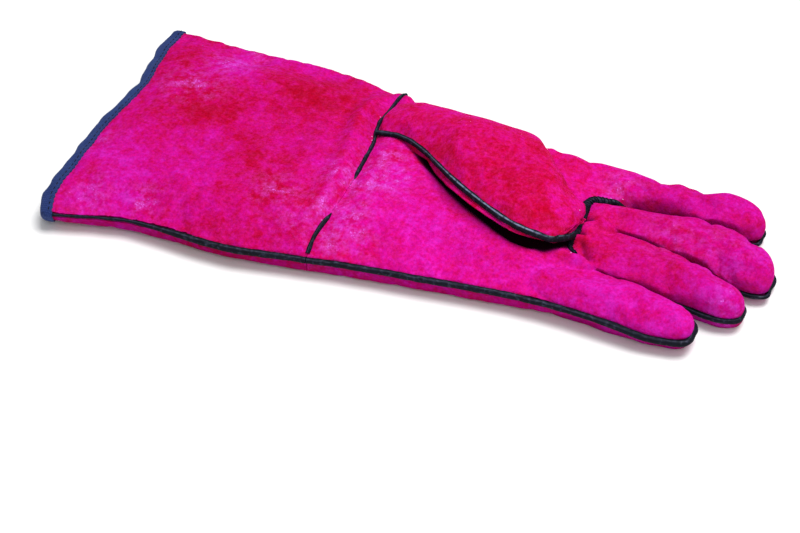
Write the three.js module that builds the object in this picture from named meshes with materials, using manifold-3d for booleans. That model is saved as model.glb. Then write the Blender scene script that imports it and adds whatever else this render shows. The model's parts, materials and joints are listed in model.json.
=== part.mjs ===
// A left-hand welding gauntlet, 16 inches long, lying palm up with its thumb folded over the palm.
// Lengths are in millimetres. X runs from the mouth of the cuff to the fingertips, Y towards the
// thumb side, and Z up from the surface that the glove lies on. The glove is a shell of leather
// panels with an open hollow: cuff, hand, four fingers and thumb. Piping lies in its seams.

import * as THREE from 'three';
import { mergeVertices } from 'three/addons/utils/BufferGeometryUtils.js';
import Module from 'manifold-3d';

const wasm = await Module();
wasm.setup();

// Leather, seams and trimmings
const WALL = 2.2;
const SEAM_GAP = 0.4;
const CLEARANCE = 0.3;
const SEAM_HEIGHT = 12;
const WELT_RADIUS = 1.7;
const WELT_SUNK = 0.4;
const WELT_SIDES = 6;
const WELT_STEP = 11;
const WRIST_WELT_INSET = 5;
const MERGE_DISTANCE = 1e-4;
const SEAM_SLOT = 2 * (WELT_RADIUS + CLEARANCE);
const BINDING_THICKNESS = 1.0;
const BINDING_START = -5;
const BINDING_END = 4;
const MOUTH_BASE = BINDING_THICKNESS + CLEARANCE;

// How round the sections are: 2 is an ellipse, more is boxier
const TOP_ROUNDNESS = 2.3;
const BOTTOM_ROUNDNESS = 3.2;
const BOTTOM_FLATTENING = 1.12;
const BODY_POINTS = 28;
const FINGER_POINTS = 16;
const THUMB_POINTS = 18;
const TIP_ANGLES = [28, 54, 74];
const TIP_ROUNDNESS = 0.8;

// Cuff and hand: the two edges at seam height, the highest line and the underside of each section.
// The crown rises in a ridge before the wrist seam and dips into it.
const BODY_ROWS = [
  { x: -3.7, near: -90.5, far: 92.5, crown: 20.5, base: MOUTH_BASE },
  { x: 8, near: -88, far: 92.5, crown: 22, base: MOUTH_BASE },
  { x: 25, near: -82, far: 92.5, crown: 23.5, base: 0 },
  { x: 44, near: -77.5, far: 92, crown: 24.5, base: 0 },
  { x: 66, near: -77, far: 92.5, crown: 25.5, base: 0 },
  { x: 90, near: -78, far: 92.5, crown: 25.5, base: 0 },
  { x: 110, near: -77.5, far: 91.5, crown: 25.5, base: 0 },
  { x: 130, near: -73.5, far: 87, crown: 26, base: 0 },
  { x: 143, near: -71, far: 84.5, crown: 28, base: 0 },
  { x: 151, near: -70, far: 83, crown: 25.5, base: 0 },
  { x: 160, near: -68, far: 80, crown: 26.5, base: 0 },
  { x: 185, near: -64.5, far: 71, crown: 26.5, base: 0 },
  { x: 215, near: -61, far: 65, crown: 26.5, base: 0 },
  { x: 245, near: -57, far: 62.5, crown: 26, base: 0 },
  { x: 270, near: -54.5, far: 65, crown: 25, base: 0 },
  { x: 290, near: -54, far: 66, crown: 23, base: 0 },
  { x: 300, near: -54, far: 65.5, crown: 19, base: 0 },
];

// Each finger: its edges at seam height and its highest line, then the point of its tip
const FINGERS = {
  little: {
    tipX: 371,
    tipY: -44,
    rows: [
      { x: 262, near: -48, far: -28, crown: 18 },
      { x: 285, near: -53.5, far: -23, crown: 22.5 },
      { x: 305, near: -54.5, far: -23.5, crown: 23.5 },
      { x: 328, near: -56, far: -27.5, crown: 24 },
      { x: 345, near: -57, far: -30.5, crown: 24 },
      { x: 356, near: -56.5, far: -31.5, crown: 23 },
    ],
  },
  ring: {
    tipX: 391,
    tipY: -18,
    rows: [
      { x: 262, near: -14, far: 8, crown: 20 },
      { x: 285, near: -18.5, far: 11, crown: 24 },
      { x: 305, near: -19.5, far: 10.5, crown: 24.5 },
      { x: 330, near: -23.5, far: 5.5, crown: 24.5 },
      { x: 352, near: -27, far: 0, crown: 25 },
      { x: 375, near: -30, far: -7, crown: 24 },
    ],
  },
  middle: {
    tipX: 399,
    tipY: 10,
    rows: [
      { x: 262, near: 16, far: 31, crown: 20 },
      { x: 285, near: 14.5, far: 34.5, crown: 24 },
      { x: 305, near: 14, far: 34.5, crown: 24.5 },
      { x: 330, near: 9, far: 34.5, crown: 25 },
      { x: 352, near: 3.5, far: 35, crown: 26 },
      { x: 371, near: -2.5, far: 33.5, crown: 25.5 },
      { x: 384, near: -4, far: 29.5, crown: 24 },
    ],
  },
  index: {
    tipX: 383,
    tipY: 51,
    rows: [
      { x: 262, near: 42, far: 60, crown: 17 },
      { x: 285, near: 38, far: 66, crown: 22.5 },
      { x: 305, near: 38, far: 65.5, crown: 24 },
      { x: 330, near: 38, far: 66, crown: 24.5 },
      { x: 350, near: 38.5, far: 69.5, crown: 25.5 },
      { x: 368, near: 37.5, far: 67.5, crown: 24.5 },
    ],
  },
};

// Thumb: each row is a rib across it, from a point on its near edge to one on its far edge, with
// its highest line and the height of its underside at either edge. The first five ribs grow out
// of the hand.
const THUMB_RIBS = [
  { near: [153.2, 33, 25], far: [155, 82.7, 12], crown: 25, under: [9, 6] },
  { near: [168, 33, 27.5], far: [173, 76.5, 12], crown: 35, under: [9, 6] },
  { near: [186, 20, 31.5], far: [196, 69.7, 12], crown: 42.5, under: [18, 6] },
  { near: [200, 6, 34], far: [219, 65.3, 13], crown: 46, under: [28, 6] },
  { near: [216, -5, 36], far: [243, 62.5, 22], crown: 46.5, under: [28, 12] },
  { near: [236, -16, 37], far: [257, 45, 30], crown: 46.5, under: [28, 27.5] },
  { near: [256, -24.5, 37], far: [270, 28, 31], crown: 46, under: [28, 27.5] },
  { near: [272, -27.5, 36.5], far: [279, 20, 31], crown: 44, under: [28, 27.5] },
  { near: [283, -24.5, 36], far: [285.5, 14, 31], crown: 41, under: [28.5, 28] },
];
const THUMB_TIP_LENGTH = 6;
const THUMB_FREE_RIB = 3;

// Where the piping turns round the thumb's tip: how far across it, and how far behind its end
const THUMB_TIP_WELT_ROWS = [
  { across: 0.25, back: 1.9 },
  { across: 0.5, back: 1.2 },
];

// Wrist seam: where it meets the near and the far edge of the glove
const WRIST_NEAR = { x: 149, y: -69.7 };
const WRIST_FAR = { x: 154, y: 82 };
const WRIST_STEPS = 9;

// Seam at the base of the middle and ring fingers, from the index crotch to the little one
const BASE_SEAM_ROWS = [
  { x: 298, y: 36 },
  { x: 289, y: 32.5 },
  { x: 285, y: 26 },
  { x: 284, y: 15 },
  { x: 285, y: 3 },
  { x: 286, y: -9 },
  { x: 289, y: -15.5 },
  { x: 298, y: -20.5 },
];
const BASE_SEAM_X = 284.5;
const BASE_SEAM_LOWEST = 21.5;
const CROTCH_X = 300;
const OUTER_FINGER_START = 292;

// Lines in the gaps beside the ring finger and the middle finger
const LITTLE_GAP_ROWS = [
  { x: 330, y: -25.7 },
  { x: 352, y: -29 },
  { x: 420, y: -38 },
];
const INDEX_GAP_ROWS = [
  { x: 420, y: 36 },
  { x: 330, y: 36 },
];

// Plan of the part of the thumb that stands free of the hand and has an underside
const FREE_THUMB_OUTLINE = [
  { x: 186, y: 20 },
  { x: 186, y: -60 },
  { x: 320, y: -60 },
  { x: 320, y: 90 },
  { x: 238, y: 90 },
  { x: 238, y: 56 },
];

// Sizes of the cutting blocks: further than the glove reaches
const REACH = 500;
const TALL = 80;

// Gathers of the finger leather, where it is drawn into the base seam
const GATHER_ROWS = [
  { y: 29, length: 12 },
  { y: 21.5, length: 16 },
  { y: 12.8, length: 22 },
  { y: 5, length: 14 },
  { y: -6, length: 18 },
];
const GATHER_RADIUS = 1.1;
const GATHER_SIDES = 8;

const LEATHER = { color: 0xc21446, roughness: 0.95, metalness: 0 };
const PIPING = { color: 0x1c1e2b, roughness: 0.55, metalness: 0 };
const TAPE = { color: 0x23242f, roughness: 0.9, metalness: 0 };

function power(value, exponent) {
  return Math.sign(value) * Math.abs(value) ** exponent;
}

function solidFromArrays(positions, triangles) {
  const mesh = new wasm.Mesh({
    numProp: 3,
    vertProperties: new Float32Array(positions),
    triVerts: new Uint32Array(triangles),
  });
  return new wasm.Manifold(mesh);
}

function solidFromGeometry(geometry) {
  const bare = geometry.clone();
  bare.deleteAttribute('normal');
  bare.deleteAttribute('uv');
  const merged = mergeVertices(bare, MERGE_DISTANCE);
  return solidFromArrays(merged.attributes.position.array, merged.index.array);
}

// A closed loft through rings of equal numbers of points, with a point at the middle of each end
function loft(rings, tip) {
  const count = rings[0].length;
  const positions = rings.flat().flatMap((point) => [point.x, point.y, point.z]);
  const triangles = [];
  for (let ring = 0; ring + 1 < rings.length; ring += 1) {
    for (let i = 0; i < count; i += 1) {
      const a = ring * count + i;
      const b = ring * count + (i + 1) % count;
      triangles.push(a, b, b + count, a, b + count, a + count);
    }
  }
  const last = rings.length - 1;
  const ends = [middle(rings[0]), tip ?? middle(rings[last])];
  const startIndex = rings.length * count;
  ends.forEach((point) => positions.push(point.x, point.y, point.z));
  for (let i = 0; i < count; i += 1) {
    const next = (i + 1) % count;
    triangles.push(startIndex, next, i);
    triangles.push(startIndex + 1, last * count + i, last * count + next);
  }
  return solidFromArrays(positions, triangles);
}

function middle(ring) {
  const sum = ring.reduce((total, point) => total.add(point), new THREE.Vector3());
  return sum.divideScalar(ring.length);
}

// Section of the glove where it lies on a flat surface: a dome above the seam, flattened below it.
// grow moves the whole section outwards, or inwards where it is negative.
function bodyRing(row, grow, points, shrink = 1) {
  const centre = (row.near + row.far) / 2;
  const half = (row.far - row.near) / 2 + grow;
  const floor = (row.base ?? 0) - grow;
  const rise = row.crown + grow - SEAM_HEIGHT;
  const drop = (SEAM_HEIGHT - floor) * BOTTOM_FLATTENING;
  const ring = [];
  for (let i = 0; i < points; i += 1) {
    const angle = (2 * Math.PI * i) / points;
    const across = Math.cos(angle);
    const up = Math.sin(angle);
    const exponent = 2 / (up >= 0 ? TOP_ROUNDNESS : BOTTOM_ROUNDNESS);
    const height = power(up, exponent) * (up >= 0 ? rise : drop);
    const y = centre + half * shrink * power(across, exponent);
    const z = SEAM_HEIGHT + shrink * Math.max(floor - SEAM_HEIGHT, height);
    ring.push(new THREE.Vector3(row.x, y, z));
  }
  return ring;
}

function bodySolid(grow, rows = BODY_ROWS) {
  return loft(rows.map((row) => bodyRing(row, grow, BODY_POINTS)));
}

// The hollow runs out through the mouth and stops a wall short of the finger crotches
function bodyHollow() {
  const rows = BODY_ROWS.map((row) => ({ ...row }));
  rows[0].x -= WALL;
  rows[rows.length - 1].x -= WALL;
  return bodySolid(-WALL, rows);
}

// A finger with a rounded tip
function fingerSolid(finger, grow) {
  const rings = finger.rows.map((row) => bodyRing(row, grow, FINGER_POINTS));
  const last = finger.rows[finger.rows.length - 1];
  const length = finger.tipX - last.x + grow;
  const turn = finger.tipY - (last.near + last.far) / 2;
  for (const degrees of TIP_ANGLES) {
    const angle = THREE.MathUtils.degToRad(degrees);
    const along = Math.sin(angle);
    const row = {
      ...last,
      x: last.x + length * along,
      near: last.near + turn * along,
      far: last.far + turn * along,
    };
    rings.push(bodyRing(row, grow, FINGER_POINTS, Math.cos(angle) ** TIP_ROUNDNESS));
  }
  return loft(rings, new THREE.Vector3(last.x + length, finger.tipY, SEAM_HEIGHT));
}

// Section of the thumb across one rib; shrink draws it in towards its middle
function ribRing(rib, grow, shrink = 1) {
  const near = new THREE.Vector3(...rib.near);
  const far = new THREE.Vector3(...rib.far);
  const outwards = far.clone().sub(near).setZ(0).normalize();
  const centre = near.clone().lerp(far, 0.5);
  const rise = rib.crown + grow - centre.z;
  near.addScaledVector(outwards, -grow);
  far.addScaledVector(outwards, grow);
  const ring = [];
  for (let i = 0; i < THUMB_POINTS; i += 1) {
    const angle = (2 * Math.PI * i) / THUMB_POINTS;
    const across = Math.cos(angle);
    const up = Math.sin(angle);
    const exponent = 2 / (up >= 0 ? TOP_ROUNDNESS : BOTTOM_ROUNDNESS);
    const along = (1 + power(across, exponent)) / 2;
    const point = near.clone().lerp(far, along);
    const under = THREE.MathUtils.lerp(...rib.under, along) - grow;
    const drop = Math.min((point.z - under) * BOTTOM_FLATTENING * power(-up, exponent), point.z - under);
    point.z += up >= 0 ? rise * power(up, exponent) : -drop;
    ring.push(centre.clone().lerp(point, shrink));
  }
  return ring;
}

// The thumb, whose tip is blunt and rounded
function thumbSolid(grow) {
  const ribs = THUMB_RIBS.slice();
  if (grow < 0) {
    ribs[0] = blendRibs(ribs[0], ribs[1], -grow / (ribs[1].near[0] - ribs[0].near[0]));
  }
  const rings = ribs.map((rib) => ribRing(rib, grow));
  const last = ribs[ribs.length - 1];
  const length = THUMB_TIP_LENGTH + grow;
  const ahead = new THREE.Vector3(1, 0, 0);
  for (const degrees of TIP_ANGLES) {
    const angle = THREE.MathUtils.degToRad(degrees);
    const ring = ribRing(last, grow, Math.cos(angle) ** TIP_ROUNDNESS);
    ring.forEach((point) => point.addScaledVector(ahead, length * Math.sin(angle)));
    rings.push(ring);
  }
  const tip = middle(ribRing(last, grow)).addScaledVector(ahead, length);
  return loft(rings, tip);
}

function blendRibs(first, second, share) {
  const blend = (name) => first[name].map((value, i) => THREE.MathUtils.lerp(value, second[name][i], share));
  const crown = THREE.MathUtils.lerp(first.crown, second.crown, share);
  return { near: blend('near'), far: blend('far'), crown, under: blend('under') };
}

// Everything above (side 1) or below (side -1) the ruled surface between the edges of the thumb.
// Piping runs in a slot along the near edge, and along the far edge until the thumb leaves the hand.
function thumbHalf(side) {
  const margin = 8;
  const last = THUMB_RIBS.length - 1;
  const ribs = [THUMB_RIBS[0], ...THUMB_RIBS, THUMB_RIBS[last]];
  const rings = ribs.map((rib, index) => {
    const farSlot = index > THUMB_FREE_RIB + 1 ? SEAM_GAP : SEAM_SLOT;
    const near = new THREE.Vector3(...rib.near);
    const far = new THREE.Vector3(...rib.far);
    const outwards = far.clone().sub(near).setZ(0).normalize();
    near.z += (side * SEAM_SLOT) / 2;
    far.z += (side * farSlot) / 2;
    if (index === 0 || index === ribs.length - 1) {
      near.x += index === 0 ? -margin : 2 * margin;
      far.x += index === 0 ? -margin : 2 * margin;
    }
    near.addScaledVector(outwards, -margin);
    far.addScaledVector(outwards, margin);
    const nearEnd = near.clone().setZ(near.z + side * TALL);
    const farEnd = far.clone().setZ(far.z + side * TALL);
    const ring = [near, nearEnd, farEnd, far];
    return side > 0 ? ring.reverse() : ring;
  });
  return loft(rings);
}

// A block whose outline is drawn on the floor, from one height to another
function prism(outline, low, high) {
  const shape = new THREE.Shape(outline.map((point) => new THREE.Vector2(point.x, point.y)));
  const geometry = new THREE.ExtrudeGeometry(shape, { depth: high - low, bevelEnabled: false });
  return solidFromGeometry(geometry.translate(0, 0, low));
}

// The edges and the crown of a body or finger at a place along it
function rowAt(rows, x) {
  const index = Math.max(rows.findIndex((row) => row.x >= x), 1);
  const before = rows[index - 1];
  const after = rows[index];
  const share = THREE.MathUtils.clamp((x - before.x) / (after.x - before.x), 0, 1);
  return {
    near: THREE.MathUtils.lerp(before.near, after.near, share),
    far: THREE.MathUtils.lerp(before.far, after.far, share),
    crown: THREE.MathUtils.lerp(before.crown, after.crown, share),
  };
}

// Height of the outer face of the body or a finger at a place on the plan
function heightOn(rows, x, y) {
  const { near, far, crown } = rowAt(rows, x);
  const across = Math.min(1, Math.abs(y - (near + far) / 2) / ((far - near) / 2));
  return SEAM_HEIGHT + (crown - SEAM_HEIGHT) * (1 - across ** TOP_ROUNDNESS) ** (1 / TOP_ROUNDNESS);
}

// Piping along a route; grow makes the wider groove that the leather is cut with
function welt(route, grow = 0) {
  const curve = new THREE.CatmullRomCurve3(route, false, 'centripetal');
  const section = new THREE.Shape();
  section.absarc(0, 0, WELT_RADIUS + grow, 0, 2 * Math.PI);
  const geometry = new THREE.ExtrudeGeometry(section, {
    extrudePath: curve,
    steps: Math.round(curve.getLength() / WELT_STEP),
    curveSegments: WELT_SIDES / 2,
    bevelEnabled: false,
  });
  return solidFromGeometry(geometry);
}

// A point of the seam between the palm side and the back of the glove
function seamPoint(x, y) {
  return new THREE.Vector3(x, y, SEAM_HEIGHT);
}

// One edge of the cuff or hand at seam height, from one place along it to another
function bodyEdge(side, from, to) {
  const between = BODY_ROWS.map((row) => row.x).filter((x) => x > from + 4 && x < to - 4);
  const inwards = side === 'near' ? WELT_SUNK : -WELT_SUNK;
  return [from, ...between, to].map((x) => seamPoint(x, rowAt(BODY_ROWS, x)[side] + inwards));
}

// The edge of a finger at seam height, from the far side round the tip to the near side
function fingerEdge(finger) {
  const rows = finger.rows.filter((row) => row.x > CROTCH_X);
  const last = rows[rows.length - 1];
  const length = finger.tipX - last.x - WELT_SUNK;
  const centre = (last.near + last.far) / 2;
  const half = (last.far - last.near) / 2 - WELT_SUNK;
  const tip = [];
  for (let degrees = 60; degrees >= -60; degrees -= 30) {
    const angle = THREE.MathUtils.degToRad(degrees);
    const along = Math.cos(angle);
    const across = half * power(Math.sin(angle), TIP_ROUNDNESS);
    const turn = (finger.tipY - centre) * along;
    tip.push(seamPoint(last.x + length * along, centre + turn + across));
  }
  const far = rows.map((row) => seamPoint(row.x, row.far - WELT_SUNK));
  const near = rows.map((row) => seamPoint(row.x, row.near + WELT_SUNK)).reverse();
  return [...far, ...tip, ...near];
}

// The near edge of the thumb, from the wrist seam to the middle of its blunt tip
function thumbEdge() {
  const route = THUMB_RIBS.map((rib) => new THREE.Vector3(...rib.near).setY(rib.near[1] + WELT_SUNK));
  route[0].x = wristX(route[0].y) + SEAM_SLOT;
  const last = THUMB_RIBS[THUMB_RIBS.length - 1];
  const near = new THREE.Vector3(...last.near);
  const far = new THREE.Vector3(...last.far);
  for (const row of THUMB_TIP_WELT_ROWS) {
    const point = near.clone().lerp(far, row.across);
    point.x = far.x + THUMB_TIP_LENGTH - row.back;
    route.push(point);
  }
  return route;
}

// Where the wrist seam crosses a line along the glove
function wristX(y) {
  const share = (y - WRIST_NEAR.y) / (WRIST_FAR.y - WRIST_NEAR.y);
  return THREE.MathUtils.lerp(WRIST_NEAR.x, WRIST_FAR.x, share);
}

function wristEdge() {
  const start = WRIST_NEAR.y + WRIST_WELT_INSET;
  const end = WRIST_FAR.y - WRIST_WELT_INSET;
  const route = [];
  for (let step = 0; step <= WRIST_STEPS; step += 1) {
    const y = THREE.MathUtils.lerp(start, end, step / WRIST_STEPS);
    const x = wristX(y);
    route.push(new THREE.Vector3(x, y, heightOn(BODY_ROWS, x, y) - WELT_SUNK));
  }
  return route;
}

function baseSeamEdge() {
  return BASE_SEAM_ROWS.map((row) => {
    const height = Math.max(heightOn(BODY_ROWS, row.x, row.y), BASE_SEAM_LOWEST);
    return new THREE.Vector3(row.x, row.y, height);
  });
}

// One gather: a slim cone pressed into the leather, with its wide end at the base seam
function gather(row) {
  const finger = row.y > FINGERS.middle.rows[1].near ? FINGERS.middle : FINGERS.ring;
  const start = new THREE.Vector3(BASE_SEAM_X, row.y, heightOn(finger.rows, BASE_SEAM_X, row.y));
  const endX = BASE_SEAM_X + row.length;
  const end = new THREE.Vector3(endX, row.y, heightOn(finger.rows, endX, row.y));
  const cone = new THREE.ConeGeometry(GATHER_RADIUS, start.distanceTo(end), GATHER_SIDES);
  const along = end.clone().sub(start).normalize();
  cone.applyQuaternion(new THREE.Quaternion().setFromUnitVectors(new THREE.Vector3(0, 1, 0), along));
  const centre = start.lerp(end, 0.5);
  return solidFromGeometry(cone.translate(centre.x, centre.y, centre.z));
}

// A folded tape round the mouth of the cuff, outside and inside its wall
function binding() {
  const rowsBetween = (from, to) => [from, to].map((x) => ({ ...rowAt(BODY_ROWS, x), base: MOUTH_BASE, x }));
  const depth = BINDING_THICKNESS + CLEARANCE;
  const throughRows = rowsBetween(BINDING_START - depth, BINDING_END + 2 * depth);
  const slotRows = rowsBetween(BODY_ROWS[0].x - CLEARANCE, BINDING_END + depth);
  const outside = bodySolid(depth, rowsBetween(BINDING_START, BINDING_END));
  const slot = bodySolid(CLEARANCE, slotRows).subtract(bodySolid(-WALL - CLEARANCE, throughRows));
  return outside.subtract(bodySolid(-WALL - depth, throughRows)).subtract(slot);
}

// The outline on the plan of everything on the fingertip side of a line
function ahead(line, shift) {
  const outline = line.map((point) => ({ x: point.x + shift, y: point.y }));
  return [...outline, { x: REACH, y: line[line.length - 1].y }, { x: REACH, y: line[0].y }];
}

// The middle and ring fingers with the gaps beside them
function middleFingersOutline(shift) {
  const seam = BASE_SEAM_ROWS.map((row) => ({ x: row.x + shift, y: row.y }));
  return [...seam, ...LITTLE_GAP_ROWS, ...INDEX_GAP_ROWS];
}

// The largest body of a solid, without the crumbs that cutting leaves
function mainBody(solid) {
  return solid.decompose().reduce((best, body) => (body.volume() > best.volume() ? body : best));
}

// Cuff, hand and fingers as one hollow shell, cut in two where the piping runs in the side seams
const body = bodySolid(0);
const bodyInside = bodyHollow();
const fingers = Object.values(FINGERS);
const glove = fingers.reduce((sum, finger) => sum.add(fingerSolid(finger, 0)), body);
const inside = fingers.reduce((sum, finger) => sum.add(fingerSolid(finger, -WALL)), bodyInside);
const shell = glove.subtract(inside);

const everywhere = ahead([{ x: -REACH, y: REACH }, { x: -REACH, y: -REACH }], 0);
const topShell = shell.intersect(prism(everywhere, SEAM_HEIGHT + SEAM_SLOT / 2, TALL));
const bottomShell = shell.intersect(prism(everywhere, -TALL, SEAM_HEIGHT - SEAM_SLOT / 2));

// Everything on the hand's side of the wrist seam
const wristLine = [REACH, -REACH].map((y) => ({ x: wristX(y), y }));
const handFrom = (shift) => prism(ahead(wristLine, shift), -TALL, TALL);
const hand = topShell.intersect(handFrom(SEAM_SLOT / 2));

// The walls of the thumb, and what cuts them and the finger leather out
const thumbWalls = thumbSolid(0).subtract(thumbSolid(-WALL));
const freeThumb = prism(FREE_THUMB_OUTLINE, 0, TALL);
const middleFingers = (shift) => prism(middleFingersOutline(shift), 0, TALL);
const gathers = GATHER_ROWS.map(gather).reduce((sum, cone) => sum.add(cone));

const pipings = {
  cuff_near_welt: bodyEdge('near', BINDING_END + 1, WRIST_NEAR.x - SEAM_SLOT),
  cuff_far_welt: bodyEdge('far', BINDING_END + 1, WRIST_FAR.x - SEAM_SLOT),
  wrist_welt: wristEdge(),
  index_finger_welt: [
    ...bodyEdge('far', WRIST_FAR.x + SEAM_SLOT, OUTER_FINGER_START),
    ...fingerEdge(FINGERS.index),
  ],
  middle_finger_welt: fingerEdge(FINGERS.middle),
  ring_finger_welt: fingerEdge(FINGERS.ring),
  little_finger_welt: [
    ...fingerEdge(FINGERS.little),
    ...bodyEdge('near', WRIST_NEAR.x + SEAM_SLOT, OUTER_FINGER_START).reverse(),
  ],
  finger_base_welt: baseSeamEdge(),
  thumb_welt: thumbEdge(),
};

const grooves = ['finger_base_welt', 'thumb_welt', 'wrist_welt']
  .map((name) => welt(pipings[name], CLEARANCE))
  .reduce((sum, groove) => sum.add(groove));

const panels = {
  cuff_palm_panel: topShell.subtract(handFrom(-SEAM_SLOT / 2)),
  cuff_back_panel: bottomShell.subtract(handFrom(-SEAM_GAP / 2)),
  palm_panel: hand.subtract(middleFingers(-SEAM_GAP / 2)).subtract(thumbSolid(SEAM_GAP)).subtract(grooves),
  middle_fingers_panel: hand.intersect(middleFingers(SEAM_GAP / 2)).subtract(gathers).subtract(grooves),
  back_panel: bottomShell.intersect(handFrom(SEAM_GAP / 2)),
  thumb_front_panel: thumbWalls.subtract(bodyInside)
    .intersect(thumbHalf(1))
    .intersect(handFrom(SEAM_SLOT / 2))
    .subtract(grooves),
  thumb_back_panel: thumbWalls.subtract(bodySolid(SEAM_GAP))
    .intersect(thumbHalf(-1))
    .intersect(freeThumb)
    .subtract(grooves),
};

const group = new THREE.Group();

function addNode(name, solid, finish) {
  const { numProp, vertProperties, triVerts } = mainBody(solid).getMesh();
  const geometry = new THREE.BufferGeometry();
  geometry.setAttribute('position', new THREE.BufferAttribute(vertProperties, numProp));
  geometry.setIndex(new THREE.BufferAttribute(triVerts, 1));
  const mesh = new THREE.Mesh(geometry, new THREE.MeshStandardMaterial(finish));
  mesh.name = name;
  group.add(mesh);
}

Object.entries(panels).forEach(([name, panel]) => addNode(name, panel, LEATHER));
Object.entries(pipings).forEach(([name, route]) => addNode(name, welt(route), PIPING));
addNode('cuff_binding', binding(), TAPE);

// The origin lies under the middle of the glove, on the surface that it rests on
const bounds = new THREE.Box3().setFromObject(group);
const centre = bounds.getCenter(new THREE.Vector3());
group.position.set(-centre.x, -centre.y, -bounds.min.z);

export default group;
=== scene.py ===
import json
import math
from collections import namedtuple

import bmesh
import bpy
import numpy as np
from mathutils import Matrix, Quaternion, Vector
from mathutils.bvhtree import BVHTree

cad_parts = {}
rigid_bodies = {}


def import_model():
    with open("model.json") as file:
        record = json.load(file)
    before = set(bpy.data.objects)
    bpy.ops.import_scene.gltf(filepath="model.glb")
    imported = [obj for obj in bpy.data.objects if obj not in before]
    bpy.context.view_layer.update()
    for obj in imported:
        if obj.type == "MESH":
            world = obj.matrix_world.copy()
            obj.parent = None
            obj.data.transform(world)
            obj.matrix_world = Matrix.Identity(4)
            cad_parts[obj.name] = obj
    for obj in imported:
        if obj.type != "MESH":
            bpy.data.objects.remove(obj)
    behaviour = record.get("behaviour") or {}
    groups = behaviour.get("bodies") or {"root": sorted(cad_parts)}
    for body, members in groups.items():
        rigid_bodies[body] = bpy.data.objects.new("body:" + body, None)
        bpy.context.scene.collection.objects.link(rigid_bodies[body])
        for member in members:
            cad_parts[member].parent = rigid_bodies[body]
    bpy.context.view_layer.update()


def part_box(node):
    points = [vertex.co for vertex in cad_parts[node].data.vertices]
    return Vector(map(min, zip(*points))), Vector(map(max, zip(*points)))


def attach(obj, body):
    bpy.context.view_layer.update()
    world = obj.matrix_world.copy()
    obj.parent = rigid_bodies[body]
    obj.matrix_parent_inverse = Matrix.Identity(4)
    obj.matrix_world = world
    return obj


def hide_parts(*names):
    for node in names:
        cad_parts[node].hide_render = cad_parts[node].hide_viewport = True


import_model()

# Lengths in the tables are millimetres on the glove's own plan: x runs from the mouth of the cuff
# to the fingertips, y towards the thumb side, z up from the floor.
MM = 0.001
# Where the tape of the mouth starts along x, and how far its middle lies past the plan's y = 0
BINDING_START = -5
BINDING_SHIFT = 1
SEAM_HEIGHT = 12
SEAM_HALF_GAP = 1.6
WALL = 2.2

mouth_low, mouth_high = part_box("cuff_binding")
MOUTH_X = mouth_low.x - BINDING_START * MM
MIDDLE_Y = (mouth_low.y + mouth_high.y) / 2 - BINDING_SHIFT * MM

Section = namedtuple("Section", "x near far crown")
Rib = namedtuple("Rib", "near far crown")
Finger = namedtuple("Finger", "tip_x tip_y sections")
Ring = namedtuple("Ring", "centre half rise tilt turn")

# Cuff and hand: the two edges at seam height and the highest line of each section
BODY_SECTIONS = [
    Section(-22, -93, 92, 17),
    Section(-3.7, -90.5, 92.5, 20.5),
    Section(8, -88, 92.5, 22),
    Section(25, -82, 92.5, 23.5),
    Section(44, -77.5, 92, 24.5),
    Section(66, -77, 92.5, 25.5),
    Section(90, -78, 92.5, 25.5),
    Section(110, -77.5, 91.5, 25.5),
    Section(130, -73.5, 87, 26),
    Section(143, -71, 84.5, 28),
    Section(151, -70, 83, 25.5),
    Section(160, -68, 80, 26.5),
    Section(185, -64.5, 71, 26.5),
    Section(215, -61, 65, 26.5),
    Section(245, -57, 62.5, 26),
    Section(270, -54.5, 65, 25),
    Section(290, -54, 66, 23),
    Section(300, -54, 65.5, 20.5),
    Section(308, -51, 62.5, 17.5),
]
FINGERS = {
    "little": Finger(371, -44, [
        Section(262, -48, -28, 18),
        Section(285, -53.5, -25, 22.5),
        Section(305, -54.5, -26, 23.5),
        Section(328, -56, -26, 24),
        Section(345, -57, -28.5, 24.5),
        Section(356, -56.5, -30, 23.5),
    ]),
    "ring": Finger(391.5, -17, [
        Section(262, -14, 8, 20),
        Section(285, -20, 9, 24),
        Section(305, -21.5, 8.7, 24.5),
        Section(330, -22, 6.3, 24.5),
        Section(352, -24, 2.8, 25),
        Section(375, -28.5, -4.5, 24.5),
    ]),
    "middle": Finger(400.5, 12, [
        Section(262, 16, 31, 20),
        Section(285, 12.5, 34.5, 24),
        Section(305, 12, 34.5, 24.5),
        Section(330, 9.5, 35.5, 25),
        Section(352, 6.3, 37.8, 26),
        Section(371, 0.5, 35.5, 25.5),
        Section(384, -1.5, 32.5, 24.5),
    ]),
    "index": Finger(384.5, 51, [
        Section(262, 42, 60, 17),
        Section(285, 38, 66, 22.5),
        Section(305, 38, 65.5, 24),
        Section(330, 39.5, 66, 24.5),
        Section(344, 40.5, 63.5, 24.5),
        Section(354, 40.8, 67, 26),
        Section(364, 40.3, 67, 26),
    ]),
}

# Thumb: ribs across it from its near edge, which carries the piping, to its far edge
THUMB_RIBS = [
    Rib((153.2, 33, 25), (155, 82.7, 12), 25),
    Rib((168, 31, 28.3), (173, 76.5, 12), 35),
    Rib((186, 20.8, 32), (196, 68.2, 12), 41),
    Rib((200, 9.8, 34), (218, 64.5, 15.3), 46.5),
    Rib((216, -2.8, 36), (242, 62, 23.5), 46.6),
    Rib((236, -14.4, 36.3), (256, 45, 30), 46),
    Rib((256, -23.8, 36.4), (270, 28, 31), 46),
    Rib((267.5, -24.8, 34.6), (275, 20, 31), 43.5),
    Rib((279.5, -21.3, 30.6), (284, 15, 29), 38.5),
]
THUMB_TIP_LENGTH = 6

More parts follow.
